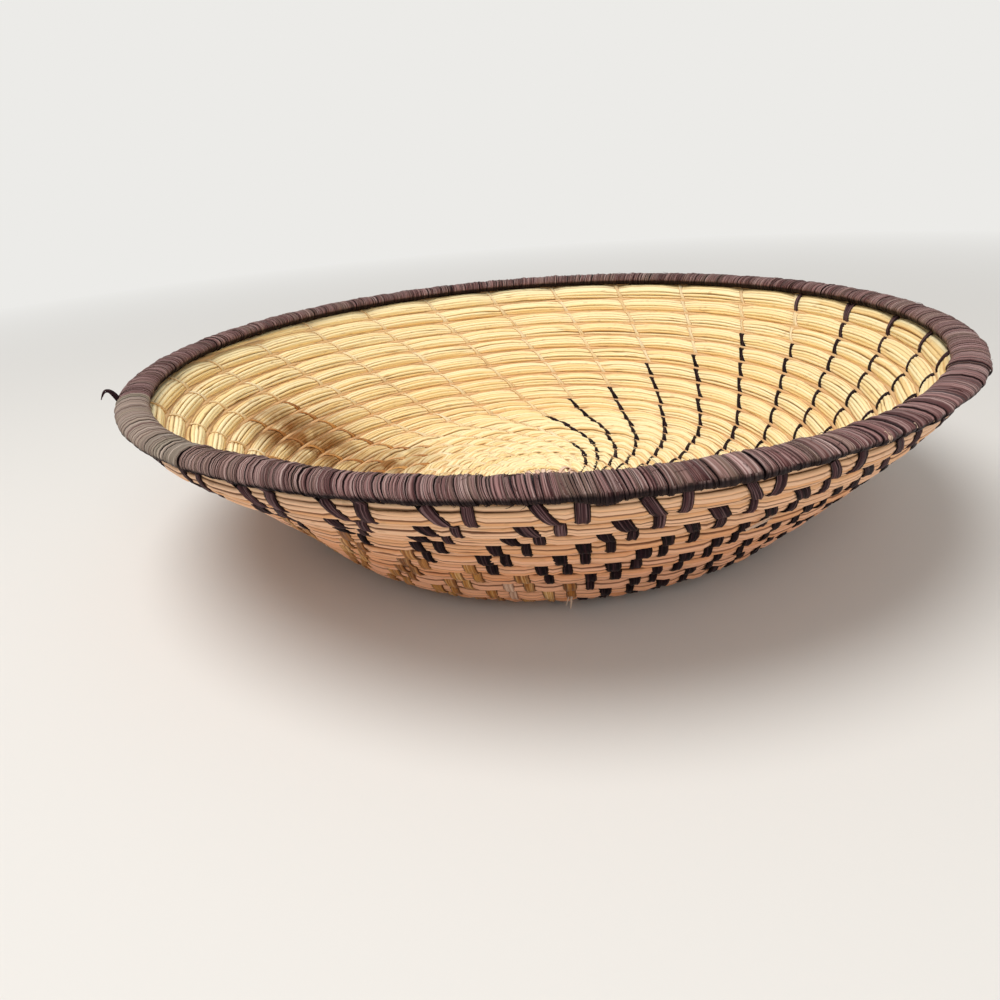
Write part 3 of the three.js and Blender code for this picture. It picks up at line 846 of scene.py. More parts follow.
# The inner leg goes up over the turn along its column. The outer leg slants down over the turn,
# bridges the groove and goes straight down over the turn below, then dives between the turns.
# Strips told by row are painted lighter near the rim and darker low down, as painted light and shade. Gives
# the inner and the outer legs.
def stitchStrips(chosen, seed, shadedByRow):
    pull = np.random.default_rng(seed)
    turn, below = crossingTurn[chosen][:, None], belowTurn[chosen][:, None]
    index, under = crossingIndex(crossings[chosen]), crossingIndex(crossings[chosen] - columnCount)

    angle = angleRows(strip["inner"], len(turn))
    along = coilAt(turn)[1] / 2 * np.cos(angle)
    sideways = turnShift(turn, crossingShift[insideLeg][index][:, None])
    inner = bundleSurface(onColumn(turn * np.ones_like(angle), along) + sideways, angle)

    over, down = np.radians(strip["over"]), np.radians(strip["down"])
    slant = slantPathFrom(below + 1, under, over[None])
    lower = below + turnShift(below, crossingShift[uprightLeg][under][:, None])
    lower = lower + turnShift(below, strip["fall"]) * (0.5 - np.cos(down) / 2)[None]
    legAngle = np.concatenate([np.broadcast_to(over, slant.shape), np.broadcast_to(down, lower.shape)], 1)
    outer = bundleSurface(np.concatenate([slant, lower], 1), legAngle)

    made = []
    row = crossingRow[chosen][:, None]
    lowRow = np.clip(row - strip["broadFromRow"], 0, 1)
    rowShade = np.clip(strip["rimTone"] - strip["shadeByRow"] * row, 0, 1)[..., None]
    most = strip["mostOfField"] * columnField(azimuthOf(turn), coilAt(turn)[0])
    for leg, lift, usual in ((inner, 0, strip["innerWidth"] * innerShape),
                             (outer, strip["outerLift"], strip["width"] * (1 + lowRow * outerShape))):
        rings, reach, tone = pulledStrips(pull, strip, *leg, lift, usual, most)
        if shadedByRow:
            tone = rowShade * (strip["rowTones"][0] + strip["rowTones"][1] * tone)
        made.append((rings, reach, tone))
    return made


slots = {part["node"]: part["material_slot"] for part in frame["record"]["subparts"]}
darkNodes, undyedNodes = [
    [node for node, slotName in slots.items() if node.startswith("stitch_column") and slotName == raffia]
    for raffia in ("dark_raffia", "undyed_raffia")
]
stitchPieces = [  # name, which stitches, 0 for the inner leg or 1 for the outer, seed, finish, slot, solids
    ("darkStitches_inside", isDark, 0, 3, darkRaffia, "dark_raffia", darkNodes),
    ("darkStitches_outside", isDark, 1, 3, darkRaffia, "dark_raffia", darkNodes),
    ("paleStitches_inside", ~isDark & ~onBrownPatch, 0, 5, paleRaffia, "undyed_raffia", undyedNodes),
    ("paleStitches_outside", ~isDark & ~isOchre, 1, 5, bareFibre, "undyed_raffia", undyedNodes),
    ("brownPatchStitches_inside", onBrownPatch, 0, 9, ochreRaffia, "undyed_raffia", []),
    ("ochreStitches_outside", isOchre, 1, 9, ochreRaffia, "undyed_raffia", []),
]
for name, chosen, part, seed, finish, slotName, nodes in stitchPieces:
    rings, reach, tone = stitchStrips(chosen & whole, seed, finish == darkRaffia)[part]
    tubePiece(name, rings, reach, {"tone": tone, "creviceShade": stripEdgeShade}, finish, slotName, *nodes)
print("stitches made:", int(whole.sum()))


# Stitches that tie the rim to the top turn: out of the lashing's underside, down over the turn, into the
# groove below it and up the inside again. On the far side the inner legs are left as pale as the coil.
# The upper ends of the stitches that slant down over the top turn also come out from under the rim.
ties = {
    "outer": (-26, -46, -72, -100, -128, -152, -172, -188), "outerLean": 0.5 * mm,
    "slant": (-14, -32, -55, -80, -104, -128, -150, -164), "slantDark": (-165, 60),  # azimuths between
    "inner": (40, 62, 88, 112, 138, 160, 178, 188), "innerLean": -2 * mm, "innerDark": (-140, 30),
    "from": -0.12, "slantFrom": -0.1,  # first one, in turns beyond the last whole turn
    "wide": 3.4 * mm, "own": (0.85, 1.15), "waver": (0.95, 1.05), "tones": (0.6, 1),
    "outerTone": 0.9, "innerTone": 0.6,
    "underRim": ((2.4 * mm, 0), (1.9 * mm, 2.2 * mm)),  # a leg's first points: off the rim's middle, and down
}


# Legs of ties along their turns and angles, where their first points lie between two azimuths. A leg
# starts under the rim, at the azimuth of its first point.
def tieLegs(pull, path, angle, outward, wide, shade, limits=(-180, 180)):
    degrees = degreesFrom(azimuthOf(path[:, 0]))
    chosen = (degrees > limits[0]) & (degrees < limits[1])
    azimuth = azimuthOf(path[chosen, 0])
    middle, out = bundleSurface(path[chosen], angle[chosen])
    start = np.stack([roundPoint(rimRadius + outward * off, azimuth, rimLevel - down)
                      for off, down in ties["underRim"]], 1)
    facing = roundPoint(1, azimuth, 0)[:, None] * outward
    middle, out = np.concatenate([start, middle], 1), np.concatenate([facing, facing, out], 1)
    rings, reach, tone = pulledStrips(pull, ties, middle, out, strip["tieLift"], wide)
    return rings, reach, shade * tone


def rimTies():
    pull = np.random.default_rng(13)
    past = crossingTurn - wholeTurns
    onTop = (past > ties["from"]) & (past <= ties["from"] + 1) & wideEnough
    turn = crossingTurn[onTop][:, None]
    turn = turn + turnShift(turn, crossingShift[uprightLeg][crossingIndex(crossings[onTop])][:, None])
    outer, inner = [angleRows(ties[side], len(turn)) for side in ("outer", "inner")]
    outerPath = turn + turnShift(turn, ties["outerLean"]) * (0.5 - np.cos(outer) / 2)
    innerPath = turn + turnShift(turn, ties["innerLean"]) * (0.5 - np.cos(inner) / 2)
    overTop = (past > ties["slantFrom"]) & whole
    slant = angleRows(ties["slant"], int(overTop.sum()))
    under = crossingIndex(crossings[overTop] - columnCount)
    slantPath = slantPathFrom(belowTurn[overTop][:, None] + 1, under, slant)
    legs = [
        tieLegs(pull, outerPath, outer, 1, ties["wide"], ties["outerTone"]),
        tieLegs(pull, innerPath, inner, -1, strip["innerWidth"], ties["innerTone"], ties["innerDark"]),
        tieLegs(pull, slantPath, slant, 1, strip["width"], ties["outerTone"], ties["slantDark"]),
    ]
    rings, reach, tone = [np.concatenate(parts) for parts in zip(*legs)]
    tubePiece("rimTies", rings, reach, {"tone": tone, "creviceShade": stripEdgeShade}, darkRaffia, "dark_raffia")


# Tight wraps over the first turn, at the middle of the base
centre = {
    "wraps": 20, "until": 1.6, "width": 2.3 * mm, "thickness": 0.2, "relief": (0.6, 1.2),
    "everyDegrees": 24, "twist": 0.004,  # turns of the coil for each radian round its section
}


def centreWraps():
    count = centre["wraps"]
    angle = angleRows(range(0, 361, centre["everyDegrees"]), count)
    turn = np.interp(np.linspace(0, distanceAt(centre["until"]), count), tableDistance, tableTurns)
    width = np.full(angle.shape, centre["width"])
    relief = draw.uniform(*centre["relief"], (count, len(stripSection)))
    surface = bundleSurface(turn[:, None] + angle * centre["twist"], angle)
    rings, reach = stripRings(*surface, width, width * centre["thickness"], relief)
    values = {"tone": draw.uniform(0, 1, (count, 1, 1)), "creviceShade": stripEdgeShade}
    tubePiece("centreWraps", rings, reach, values, bareFibre, "undyed_raffia")


rimTies()
centreWraps()
print("rim ties and centre wraps made")

# The rim: a flat bundle of stems, wound all round with raffia. Azimuths and widths are in degrees, and
# spacings and amounts in millimetres, unless they name another measure.
rim = {
    "steps": 20, "spacing": (0.45, 1.25),  # from wrap to wrap
    "spread": (1.3, 1.9),  # of the beta draw between those two: more of them narrow
    "overlap": (0.98, 1.4), "looseOverlap": 1.2,  # a wrap's width against its spacing
    "looseSpacing": 1.9 * mm, "leastWidth": 0.5 * mm, "endNarrower": 0.6,
    "broadening": (-80, -62), "broaderSpacing": (1.4, 3.4), "broaderShare": 0.6,
    "broad": (-62, -27), "broadSpacing": (2.0, 4.4), "broadShare": 0.8,
    "broadSlant": 0.6 * mm, "broadSlants": (0.8, 1.15),
    "faded": (202.5, 232.5), "fadedSpacing": (1.3, 2.6),
    "joint": 1.4 * mm,  # gap at the end of the faded length
    "crown": 0.22 * mm, "crownShare": 0.14, "sunk": 0.2 * mm,
    # where the top stands higher and the underside hangs lower: azimuth, width and amount
    "higher": [(-118, 8, 1.4), (-83.5, 3.5, -0.5), (-74, 12, -0.3), (-52, 17, -1.0)],
    "lower": [(-100, 200, 0.35), (-85.2, 1.5, 1.3), (-80, 12, 0.35), (-74, 8, 0.6), (-50, 17, -0.6),
              (-124, 16, -1.2)],
    "ripple": 0.2, "rippleCounts": (57, 83, 149),
    "lump": 0.14 * mm, "lumpCounts": (23, 41, 67), "lobe": 0.35 * mm, "lobeCount": 135,
    "lifts": (-0.2 * mm, 1.1 * mm), "liftChance": 0.1 * mm, "endWraps": 3, "endLift": 0.3 * mm,
    # how far the wraps run ahead over the top, how pale and how odd they are: what is usual, what waves
    # and what chance add, the counts of those waves, and again azimuth, width and amount
    "slant": (0.9, 0.8, 0.2), "slantCounts": (17, 37, 90),
    "slants": [(-132, 28, 1.8), (-102, 12, 1.3), (-72, 10, 1.2)],
    "evenSlant": 2.4 * mm, "evenAt": (-127.5, 2),  # beside the joint, within that width
    "tone": (0.52, 0.28, 0.2), "toneCounts": (29, 53, 71), "paler": [(-132, 26, 0.4), (-12, 22, 0.35)],
    "broadTone": 0.75, "fadedTone": (0.25, 0.5),
    "oddness": (0, 0.8, 0.15), "oddCounts": (31, 47, 88, 5), "odd": [(-127, 9, 0.7)],
    "flipped": 0.3,  # share of the wraps whose section is turned round
    "leanFrom": 62, "leanMore": [(-66, 16, 45)],  # angle round the section where the wraps begin to lean
}
for limits in ("broadening", "broad", "faded"):
    rim[limits] = tuple(math.radians(limit) for limit in rim[limits])
wrapSection = np.array([[-0.5, -1.0], [-0.27, 0.5], [0.34, 0.9], [0.5, -0.9]])
# Painted shade along each wrap's two edges, for the gaps between wraps
wrapEdgeShade = np.array([1.0, 0.0, 0.0, 1.0])
draw = np.random.default_rng(23)
lumpPhase = draw.uniform(0, fullTurn, 3)


def isBetween(azimuth, limits):
    return (azimuth - limits[0]) % fullTurn < limits[1] - limits[0]


# Sum of bells, each with its azimuth, width and amount, on top of what is given
def withBells(azimuth, bells, total=0):
    for middle, wide, amount in bells:
        total = total + amount * bellAt(azimuth, middle, wide)
    return total


# Azimuth and width of every wrap, from the end of the faded length all round to the gap at the joint
def wrapPlaces():
    azimuths, widths = [], []
    here = rim["faded"][1] + rim["joint"] / rimRadius
    end = here + fullTurn - rim["joint"] / rimRadius
    while here < end:
        low, high = rim["spacing"]
        if isBetween(here, rim["broadening"]) and draw.uniform() < rim["broaderShare"]:
            low, high = rim["broaderSpacing"]
        if isBetween(here, rim["broad"]) and draw.uniform() < rim["broadShare"]:
            low, high = rim["broadSpacing"]
        if isBetween(here, rim["faded"]):
            low, high = rim["fadedSpacing"]
        spacing = min((low + (high - low) * draw.beta(*rim["spread"])) * mm, (end - here) * rimRadius)
        isTight = spacing < rim["looseSpacing"]
        azimuths.append(here + spacing / 2 / rimRadius)
        widths.append(spacing * (draw.uniform(*rim["overlap"]) if isTight else rim["looseOverlap"]))
        here += spacing / rimRadius
    widths[0], widths[-1] = widths[0] * rim["endNarrower"], widths[-1] * rim["endNarrower"]
    return np.array(azimuths), np.maximum(np.array(widths), rim["leastWidth"])


# Mean of sine waves round the rim, each with its count and phase, by which neighbouring wraps are alike.
# Lumps and ripples share one set of phases.
def waves(azimuth, counts, phases=None):
    phases = phases if phases is not None else [draw.uniform(0, fullTurn) for _ in counts]
    return sum(np.sin(count * azimuth + phase) for count, phase in zip(counts, phases)) / len(counts)


# How far the wraps stand out at an azimuth: small lumps all round, and rope-like lobes where they are broad
def lumpAt(azimuth):
    lobes = np.maximum(0, np.sin(azimuth * rim["lobeCount"])) * isBetween(azimuth, rim["broad"])
    return rim["lump"] * waves(azimuth, rim["lumpCounts"], lumpPhase) + rim["lobe"] * lobes


# How much further than its oval the rim reaches up at an azimuth, where top is true, or down: short
# waves and a sum of bells
def reachAt(azimuth, top):
    short = rim["ripple"] * waves(azimuth, rim["rippleCounts"], lumpPhase)
    higher, lower = [withBells(azimuth, rim[bells], short) * mm for bells in ("higher", "lower")]
    return np.where(top, higher, lower)


# Point at an angle round the rim's oval: its half axes are less by the insets and more by a rise
def rimPoint(azimuth, angle, rise, insetWidth, insetHeight):
    halfWidth, halfHeight = bowl["rimWidth"] / 2 - insetWidth, bowl["rimHeight"] / 2 - insetHeight
    reach = reachAt(azimuth, np.sin(angle) > 0)
    radius = rimRadius + (halfWidth + rise) * np.cos(angle)
    return roundPoint(radius, azimuth, rimLevel + (halfHeight + rise + reach) * np.sin(angle))


# How far round the rim a wrap runs ahead at an angle, as a share: none low on the outside, all over the
# top, and sooner on the right of the front
def leanOver(angle, azimuth):
    return (1 - np.cos(angle + np.radians(withBells(azimuth, rim["leanMore"], rim["leanFrom"])))) / 2


# Wraps are closed bands round the rim's oval. Its outline is met by directions at even angles n, which
# touch the oval at the angle atan2(height * sin n, width * cos n).
def wrapRings(azimuths, widths, slants, lifts, section, crowns, flips=1):
    steps = evenAngles(rim["steps"])
    halfWidth, halfHeight = bowl["rimWidth"] / 2 - rim["sunk"], bowl["rimHeight"] / 2 - rim["sunk"]
    angle = np.arctan2(halfHeight * np.sin(steps), halfWidth * np.cos(steps))[None, :, None]
    side = (section[:, 0] * (flips * widths)[:, None])[:, None, :]
    rise = lifts[:, None, None] + (section[:, 1] * crowns[:, None])[:, None, :]
    lean = slants[:, None, None] * leanOver(angle, azimuths[:, None, None])
    around = azimuths[:, None, None] + (side - lean) / rimRadius
    rings = rimPoint(around, angle, rise, rim["sunk"], rim["sunk"])
    return rings, np.broadcast_to(steps * (halfWidth + halfHeight) / 2, rings.shape[:2])


wrapAzimuth, wrapWidth = wrapPlaces()
wrapCount = len(wrapAzimuth)


# A value for each wrap: the usual one, with waves that neighbours share and with chance
def varied(amounts, counts):
    usual, waving, chance = rim[amounts]
    return usual + waving * waves(wrapAzimuth, rim[counts]) + draw.normal(0, chance, wrapCount)


onBroad, onFaded = isBetween(wrapAzimuth, rim["broad"]), isBetween(wrapAzimuth, rim["faded"])
# Painted shade, growing from the top of each wrap's oval to its underside
wrapUnderShade = ((1 - np.sin(evenAngles(rim["steps"]))) / 2)[:, None]
wrapLift = np.clip(lumpAt(wrapAzimuth) + draw.normal(0, rim["liftChance"], wrapCount), *rim["lifts"])
wrapLift[:rim["endWraps"]] += rim["endLift"]  # the new length starts on top of the old one's end
wrapSlant = withBells(wrapAzimuth, rim["slants"], varied("slant", "slantCounts")) * mm
wrapSlant = np.where(bellAt(wrapAzimuth, *rim["evenAt"]) > 0.37, rim["evenSlant"], wrapSlant)
broadSlant = rim["broadSlant"] * draw.uniform(*rim["broadSlants"], wrapCount)
wrapSlant = np.where(onBroad, broadSlant, wrapSlant)
wrapTone = np.clip(varied("tone", "toneCounts"), 0, 1)
fadedTone = rim["fadedTone"][0] + rim["fadedTone"][1] * wrapTone
wrapTone = np.where(onBroad, rim["broadTone"] * wrapTone, np.where(onFaded, fadedTone, wrapTone))
wrapTone = withBells(wrapAzimuth, rim["paler"], wrapTone)
wrapOdd = np.clip(varied("oddness", "oddCounts"), 0, 1)
wrapOdd = np.minimum(withBells(wrapAzimuth, rim["odd"], wrapOdd * ~onBroad), 1)
wrapFlip = np.where(draw.uniform(0, 1, wrapCount) < rim["flipped"], -1.0, 1.0)


# The wraps between two azimuths, as the piece for one length of raffia
def wrapPiece(name, node, limits):
    mine = isBetween(wrapAzimuth, limits)
    crowns = np.minimum(rim["crown"], wrapWidth[mine] * rim["crownShare"])
    wraps = [values[mine] for values in (wrapAzimuth, wrapWidth, wrapSlant, wrapLift)]
    rings, reach = wrapRings(*wraps, wrapSection, crowns, wrapFlip[mine])
    values = {
        "tone": wrapTone[mine][:, None, None], "odd": wrapOdd[mine][:, None, None],
        "creviceShade": wrapEdgeShade, "underShade": wrapUnderShade,
    }
    finish = fadedRaffia if slots[node] == "faded_raffia" else rimRaffia
    tubePiece(name, rings, reach, values, finish, slots[node], node, closed=True)


# Torn fibres lie over the wraps as light threads, each on a wrap and a little beside it
threads = {
    "count": 380, "beside": 0.4, "width": (0.12, 0.3), "lift": (0.05, 0.2), "crown": 0.5,
    "slantChance": 0.2 * mm, "tones": (0.6, 1), "odd": (0, 0.8),
    "section": np.array([[-0.5, 0.0], [0.0, 1.0], [0.5, 0.0]]),
}


def rimThreads():
    count = threads["count"]
    near = draw.integers(0, wrapCount, count)
    azimuth = wrapAzimuth[near] + draw.uniform(-threads["beside"], threads["beside"], count) * mm / rimRadius
    width = draw.uniform(*threads["width"], count) * mm
    slant = wrapSlant[near] + draw.normal(0, threads["slantChance"], count)
    lift = wrapLift[near] + draw.uniform(*threads["lift"], count) * mm
    rings, reach = wrapRings(azimuth, width, slant, lift, threads["section"], width * threads["crown"])
    values = {
        "tone": draw.uniform(*threads["tones"], (count, 1, 1)),
        "odd": draw.uniform(*threads["odd"], (count, 1, 1)), "underShade": wrapUnderShade,
    }
    tubePiece("rimThreads", rings, reach, values, rimRaffia, "rim_raffia", closed=True)


# An under layer in the darkest raffia colour shows in the gaps between wraps: a dark sheet as painted shade
# there
layer = {"steps": 720, "sides": 20, "insetWidth": 0.66 * mm, "insetHeight": 0.6 * mm, "lumps": 0.6}


def rimShadeLayer():
    azimuth = evenAngles(layer["steps"])[:, None]
    lump = np.maximum(layer["lumps"] * lumpAt(azimuth), 0)
    angle = evenAngles(layer["sides"])[None]
    rings = rimPoint(azimuth, angle, lump, layer["insetWidth"], layer["insetHeight"])[None]
    values = {"tone": 0.0, "creviceShade": 0.9}
    tubePiece("rimShadeLayer", rings, azimuth.T * rimRadius, values, rimRaffia, "rim_raffia", closed=True)


# The rim's own stems lie in an oval, and rise and sag with the wraps
rimBundle = {"stems": 12, "steps": 240, "sides": 6, "out": 3.4 * mm, "up": 1.2 * mm, "stemRadius": 0.8 * mm}


def rimStems():
    angle, side = evenAngles(rimBundle["stems"]), evenAngles(rimBundle["sides"])
    azimuth = evenAngles(rimBundle["steps"])[None, :, None]
    out = (rimBundle["out"] * np.cos(angle))[:, None, None] + rimBundle["stemRadius"] * np.cos(side)
    up = (rimBundle["up"] * np.sin(angle))[:, None, None] + rimBundle["stemRadius"] * np.sin(side)
    up = up * (1 + reachAt(azimuth, up > 0) / (bowl["rimHeight"] / 2 - layer["insetHeight"]))
    rings = roundPoint(rimRadius + out, azimuth, rimLevel + up)
    reach = np.broadcast_to(azimuth[..., 0] * rimRadius, rings.shape[:2])
    tone = draw.uniform(0, 1, (rimBundle["stems"], 1, 1))
    values = {"tone": tone, "inside": 0.5, "creviceShade": 0.2, "brownPatch": 0.0}
    tubePiece("rimStems", rings, reach, values, grassStraw, "grass", "rim_bundle", closed=True)


lashingNodes = sorted(name for name in frame["nodes"] if name.startswith("rim_lashing"))
lashingArc = fullTurn / len(lashingNodes)
for number, node in enumerate(lashingNodes):
    arcFrom = rim["faded"][1] + (number - 7) * lashingArc  # the faded one is the seventh
    wrapPiece(f"rimWraps_{number + 1:02d}", node, (arcFrom, arcFrom + lashingArc))
print("rim wraps made:", wrapCount)
rimThreads()
rimShadeLayer()
rimStems()
print("rim threads, under layer and bundle made")

# Loose fibres. Each starts on the rim at an angle round its section and an azimuth, and runs on for its
# length while it turns away from the surface by a rise that grows with the square of the way along.
hairs = {
    "count": 90, "steps": 8, "sides": 3,
    "angle": (20, 150), "length": (1.5, 5.5), "drift": (-0.9, 0.9),  # drift is the share run sideways
    "rise": (0.1, 0.9), "thick": (0.07, 0.14), "thinner": 0.6, "tones": (0.1, 0.9),
    "bend": 4 * mm,  # length over which a fibre that runs straight over the rim turns by one radian
    "curl": 0.4 * mm, "curliness": 0.6, "curls": 5, "sunk": 0.1 * mm,
    "atFront": (-1.75, -1.05), "frontShare": 0.45,
    # a few whiskers hang from the underside, two of them at the front
    "whiskers": 6, "whiskerAngle": -70, "whiskerDrift": (-0.5, 0.5), "whiskerRise": 1.6 * mm,
    "frontWhiskers": (-92.5, -91.5),
    # and one thick fibre curls up on the front of the rim's top
    "thickOne": {"azimuth": -93.4, "angle": 100, "drift": 0.9, "thick": 0.22 * mm},
}


def hairRings(azimuth, angle, length, drift, rise, thick, curl):
    way = np.linspace(0, 1, hairs["steps"])[None]
    turned = angle[:, None] + (length * (1 - np.abs(drift)))[:, None] * way / hairs["bend"]
    off = rise[:, None] * way ** 2 + lumpAt(azimuth)[:, None]
    off = off + curl[:, None] * np.sin(way * hairs["curls"]) * hairs["curl"]
    azimuths = azimuth[:, None] + (length * drift)[:, None] * way / rimRadius
    middle = rimPoint(azimuths, turned, off, hairs["sunk"], hairs["sunk"])
    tangent = unit(np.gradient(middle, axis=1))
    side = unit(np.cross(tangent, roundPoint(1, azimuths, 0.3)))
    other = np.cross(side, tangent)
    ring = evenAngles(hairs["sides"])[:, None]
    size = (thick[:, None] * (1 - hairs["thinner"] * way))[..., None, None]
    around = side[:, :, None] * np.cos(ring) + other[:, :, None] * np.sin(ring)
    return middle[:, :, None] + size * around, wayAlong(middle)


def rimHairs():
    count, few, single = hairs["count"], hairs["whiskers"], hairs["thickOne"]
    azimuth = draw.uniform(-np.pi, np.pi, count)
    onFront = draw.uniform(0, 1, count) < hairs["frontShare"]
    azimuth = np.where(onFront, draw.uniform(*hairs["atFront"], count), azimuth)
    angle = np.radians(draw.uniform(*hairs["angle"], count))
    length = draw.uniform(*hairs["length"], count) * mm
    drift = draw.uniform(*hairs["drift"], count)
    rise = draw.uniform(*hairs["rise"], count) * mm
    thick = draw.uniform(*hairs["thick"], count) * mm
    curliness = draw.normal(0, hairs["curliness"], count)
    angle[:few] = np.radians(hairs["whiskerAngle"])
    drift[:few] = draw.uniform(*hairs["whiskerDrift"], few)
    rise[:few], azimuth[:2] = hairs["whiskerRise"], np.radians(hairs["frontWhiskers"])
    azimuth[few], angle[few] = math.radians(single["azimuth"]), math.radians(single["angle"])
    drift[few], thick[few] = single["drift"], single["thick"]
    rings, reach = hairRings(azimuth, angle, length, drift, rise, thick, curliness)
    values = {"tone": draw.uniform(*hairs["tones"], (count, 1, 1))}
    tubePiece("rimHairs", rings, reach, values, rimRaffia, "rim_raffia")


# A curled dark strip end stands off the rim's left end. Each strand runs outward at an even rate, while its
# height follows a sine: millimetres out, up, turn of the sine, sideways and width.
tuft = {
    "azimuth": math.radians(-159), "steps": 14, "from": (4.6 * mm, -0.6 * mm), "thickness": 0.7,
    "thinner": 0.6, "tones": (0, 0.4),
    "strands": [(3.1, 4.6, 1.6, 0, 2.1), (5.0, 4.9, 2.7, 0.3, 0.9),
                (2.8, 4.2, 1.8, -0.4, 1.4), (4.4, 4.4, 2.4, 0.6, 0.7)],
}


def rimTuft():
    outward, upward, bend, aside, wide = np.array(tuft["strands"]).T[..., None]
    way = np.linspace(0, 1, tuft["steps"])[None]
    radius = rimRadius + (outward * mm * way + tuft["from"][0])
    height = rimLevel + (upward * mm * np.sin(bend * way) + tuft["from"][1])
    azimuth = tuft["azimuth"] + aside * mm * (0.5 + way) / rimRadius
    middle = roundPoint(radius, azimuth, height)
    facing = unit(np.cross(np.gradient(middle, axis=1), roundPoint(1, azimuth + np.pi / 2, 0)))
    width = wide * mm * (1 - tuft["thinner"] * way ** 2)
    rings, reach = stripRings(middle, facing, width, width * tuft["thickness"])
    values = {"tone": draw.uniform(*tuft["tones"], (len(wide), 1, 1))}
    tubePiece("rimTuft", rings, reach, values, darkRaffia, "rim_raffia")


# Two short pale bands of bare fibre between the broad wraps, one of them double, thick and thin along
# their way
flecks = {
    "azimuths": (-58.0, -57.7, -53.8), "from": (42, 34, 34), "to": (-22, -16, 2), "steps": 12,
    "width": (0.5, 0.25, 0.24), "leastWidth": 0.04, "waver": 1.4, "wavers": 9,
    "thickness": 0.12 * mm, "lift": 0.05 * mm,
}


def paleFlecks():
    azimuth = np.radians(flecks["azimuths"])[:, None]
    angle = np.radians(np.linspace(flecks["from"], flecks["to"], flecks["steps"])).T
    around = azimuth - rim["broadSlant"] * leanOver(angle, azimuth) / rimRadius
    middle = rimPoint(around, angle, lumpAt(azimuth), -flecks["lift"], -flecks["lift"])
    out = roundPoint(np.cos(angle), around, np.sin(angle))
    waver = np.sin(angle * flecks["wavers"] + np.arange(len(azimuth))[:, None])
    width = np.array(flecks["width"])[:, None] * (1 + flecks["waver"] * waver)
    rings, reach = stripRings(middle, out, np.maximum(width, flecks["leastWidth"]) * mm, flecks["thickness"])
    tubePiece("paleFlecks", rings, reach, {"tone": 0.5}, bareFibre, "undyed_raffia")


# A pale splinter lies across the outside of three turns, and a frayed end hangs from a low one. Each goes
# from one azimuth in degrees and arc in millimetres to another, at two distances off the wall.
splinters = {
    "ends": np.array([
        [-67.1, 142.5, -65.9, 152.0, 3.9, 4.5], [-66.9, 144.5, -66.1, 150.5, 4.4, 4.9],
        [-86.4, 104.0, -86.6, 100.5, 3.6, 6.3], [-86.9, 104.0, -87.3, 101.0, 3.6, 5.4],
    ]),
    "width": np.array([[1.1], [0.5], [0.7], [0.4]]) * mm, "thinner": 0.7, "thickness": 0.4, "steps": 8,
}


def looseSplinters():
    way = np.linspace(0, 1, splinters["steps"])[None]
    ends = splinters["ends"]
    azimuth, arc, off = [
        ends[:, [first]] * (1 - way) + ends[:, [last]] * way for first, last in ((0, 2), (1, 3), (4, 5))
    ]
    azimuth, arc = np.radians(azimuth), arc * mm
    radius, height, slope = wallAt(arc)
    off = off * mm - unevenAt(azimuth, arc)
    middle = roundPoint(radius + off * np.sin(slope), azimuth, height - off * np.cos(slope))
    out = roundPoint(np.sin(slope), azimuth, -np.cos(slope))
    width = splinters["width"] * (1 - splinters["thinner"] * way ** 3)
    rings, reach = stripRings(middle, out, width, width * splinters["thickness"])
    tubePiece("looseSplinters", rings, reach, {"tone": 0.75}, bareFibre, "undyed_raffia")


draw = np.random.default_rng(61)
rimHairs()
rimTuft()
paleFlecks()
looseSplinters()
print("loose fibres made")

# Stage: a plain pale floor that fades into an equally pale room, and soft light
stage = {
    "floor": "dedbd6", "room": "ecebe8", "fadeFrom": 0.26, "fadeTo": 0.95, "floorSize": 12.0,
    "ambient": 0.4, "ambientColour": (1, 0.985, 0.96, 1),
    "lights": {  # place and watts
        "keyAbove": ((-0.25, -0.2, 1.0), 8.3), "fillFront": ((0.25, -0.95, 0.75), 2.9),
    },
    "lightSize": 0.7, "lightTarget": (0, 0, 0.03),
}


# A share that is 1 for the rays that see the background: straight, mirrored and through glass
def backgroundShare(tree):
    path = tree.nodes.new("ShaderNodeLightPath")
    share = path.outputs["Is Camera Ray"]
    for ray in ("Is Glossy Ray", "Is Transmission Ray"):
        most = tree.nodes.new("ShaderNodeMath")
        most.operation = "MAXIMUM"
        tree.links.new(share, most.inputs[0])
        tree.links.new(path.outputs[ray], most.inputs[1])
        share = most.outputs[0]
    return share


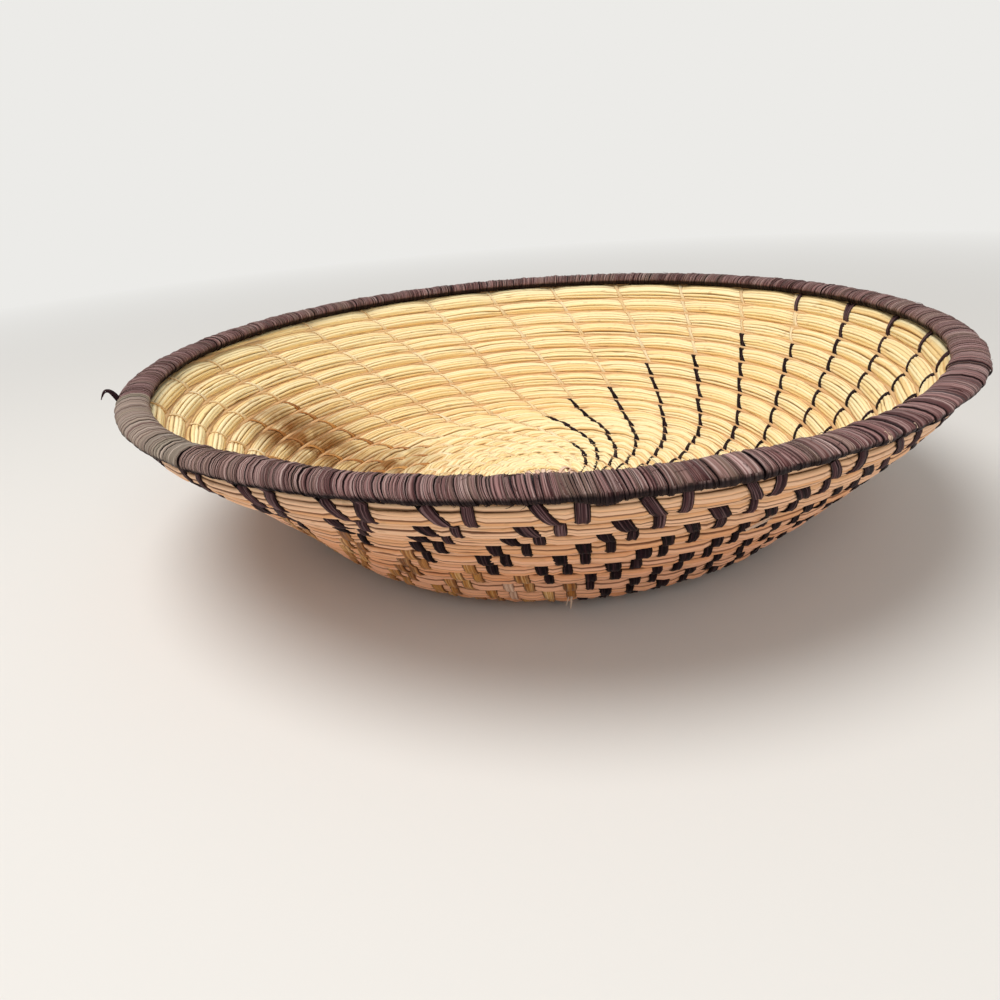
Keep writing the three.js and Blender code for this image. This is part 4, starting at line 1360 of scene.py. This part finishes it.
# A mix of two shaders, sent to the tree's output
def showMixed(tree, output, share, first, second):
    mixed = tree.nodes.new("ShaderNodeMixShader")
    for socket, value in zip(mixed.inputs, (share, first.outputs[0], second.outputs[0])):
        tree.links.new(value, socket)
    tree.links.new(mixed.outputs[0], tree.nodes[output].inputs["Surface"])


def paleFloor():
    size = stage["floorSize"]
    mesh = bpy.data.meshes.new("floor")
    corners = [(x * size, y * size, 0) for x, y in ((-1, -1), (1, -1), (1, 1), (-1, 1))]
    mesh.from_pydata(corners, [], [(0, 1, 2, 3)])
    finish = Finish("paleFloor")
    finish.surface(Roughness=0.85, Specular_IOR_Level=0.15, Base_Color=paint(stage["floor"]))
    distance = finish.node("ShaderNodeVectorMath", {"operation": "LENGTH"}, Vector=finish.place())
    fade = finish.span(distance.outputs["Value"], stage["fadeFrom"], stage["fadeTo"])
    room = finish.node("ShaderNodeEmission", Color=paint(stage["room"]), Strength=1.0)
    share = finish.times(fade, backgroundShare(finish.tree))
    showMixed(finish.tree, "Material Output", share, finish.shader, room)
    mesh.materials.append(finish.material)
    addObject("floor", mesh)


def paleRoom():
    world = bpy.data.worlds.new("paleRoom")
    world.use_nodes = True
    bpy.context.scene.world = world
    tree = world.node_tree
    lit = tree.nodes["Background"]
    lit.inputs["Color"].default_value = stage["ambientColour"]
    lit.inputs["Strength"].default_value = stage["ambient"]
    seen = tree.nodes.new("ShaderNodeBackground")
    seen.inputs["Color"].default_value = paint(stage["room"])
    showMixed(tree, "World Output", backgroundShare(tree), lit, seen)


def areaLight(name, place, power):
    data = bpy.data.lights.new(name, "AREA")
    data.shape, data.size, data.energy = "DISK", stage["lightSize"], power
    way = Vector(stage["lightTarget"]) - Vector(place)
    turned = way.to_track_quat("-Z", "Y").to_matrix().to_4x4()
    addObject(name, data).matrix_world = Matrix.Translation(place) @ turned


paleFloor()
paleRoom()
for name, (place, power) in stage["lights"].items():
    areaLight(name, place, power)
bpy.context.scene.view_settings.view_transform = "Standard"
print("stage made")
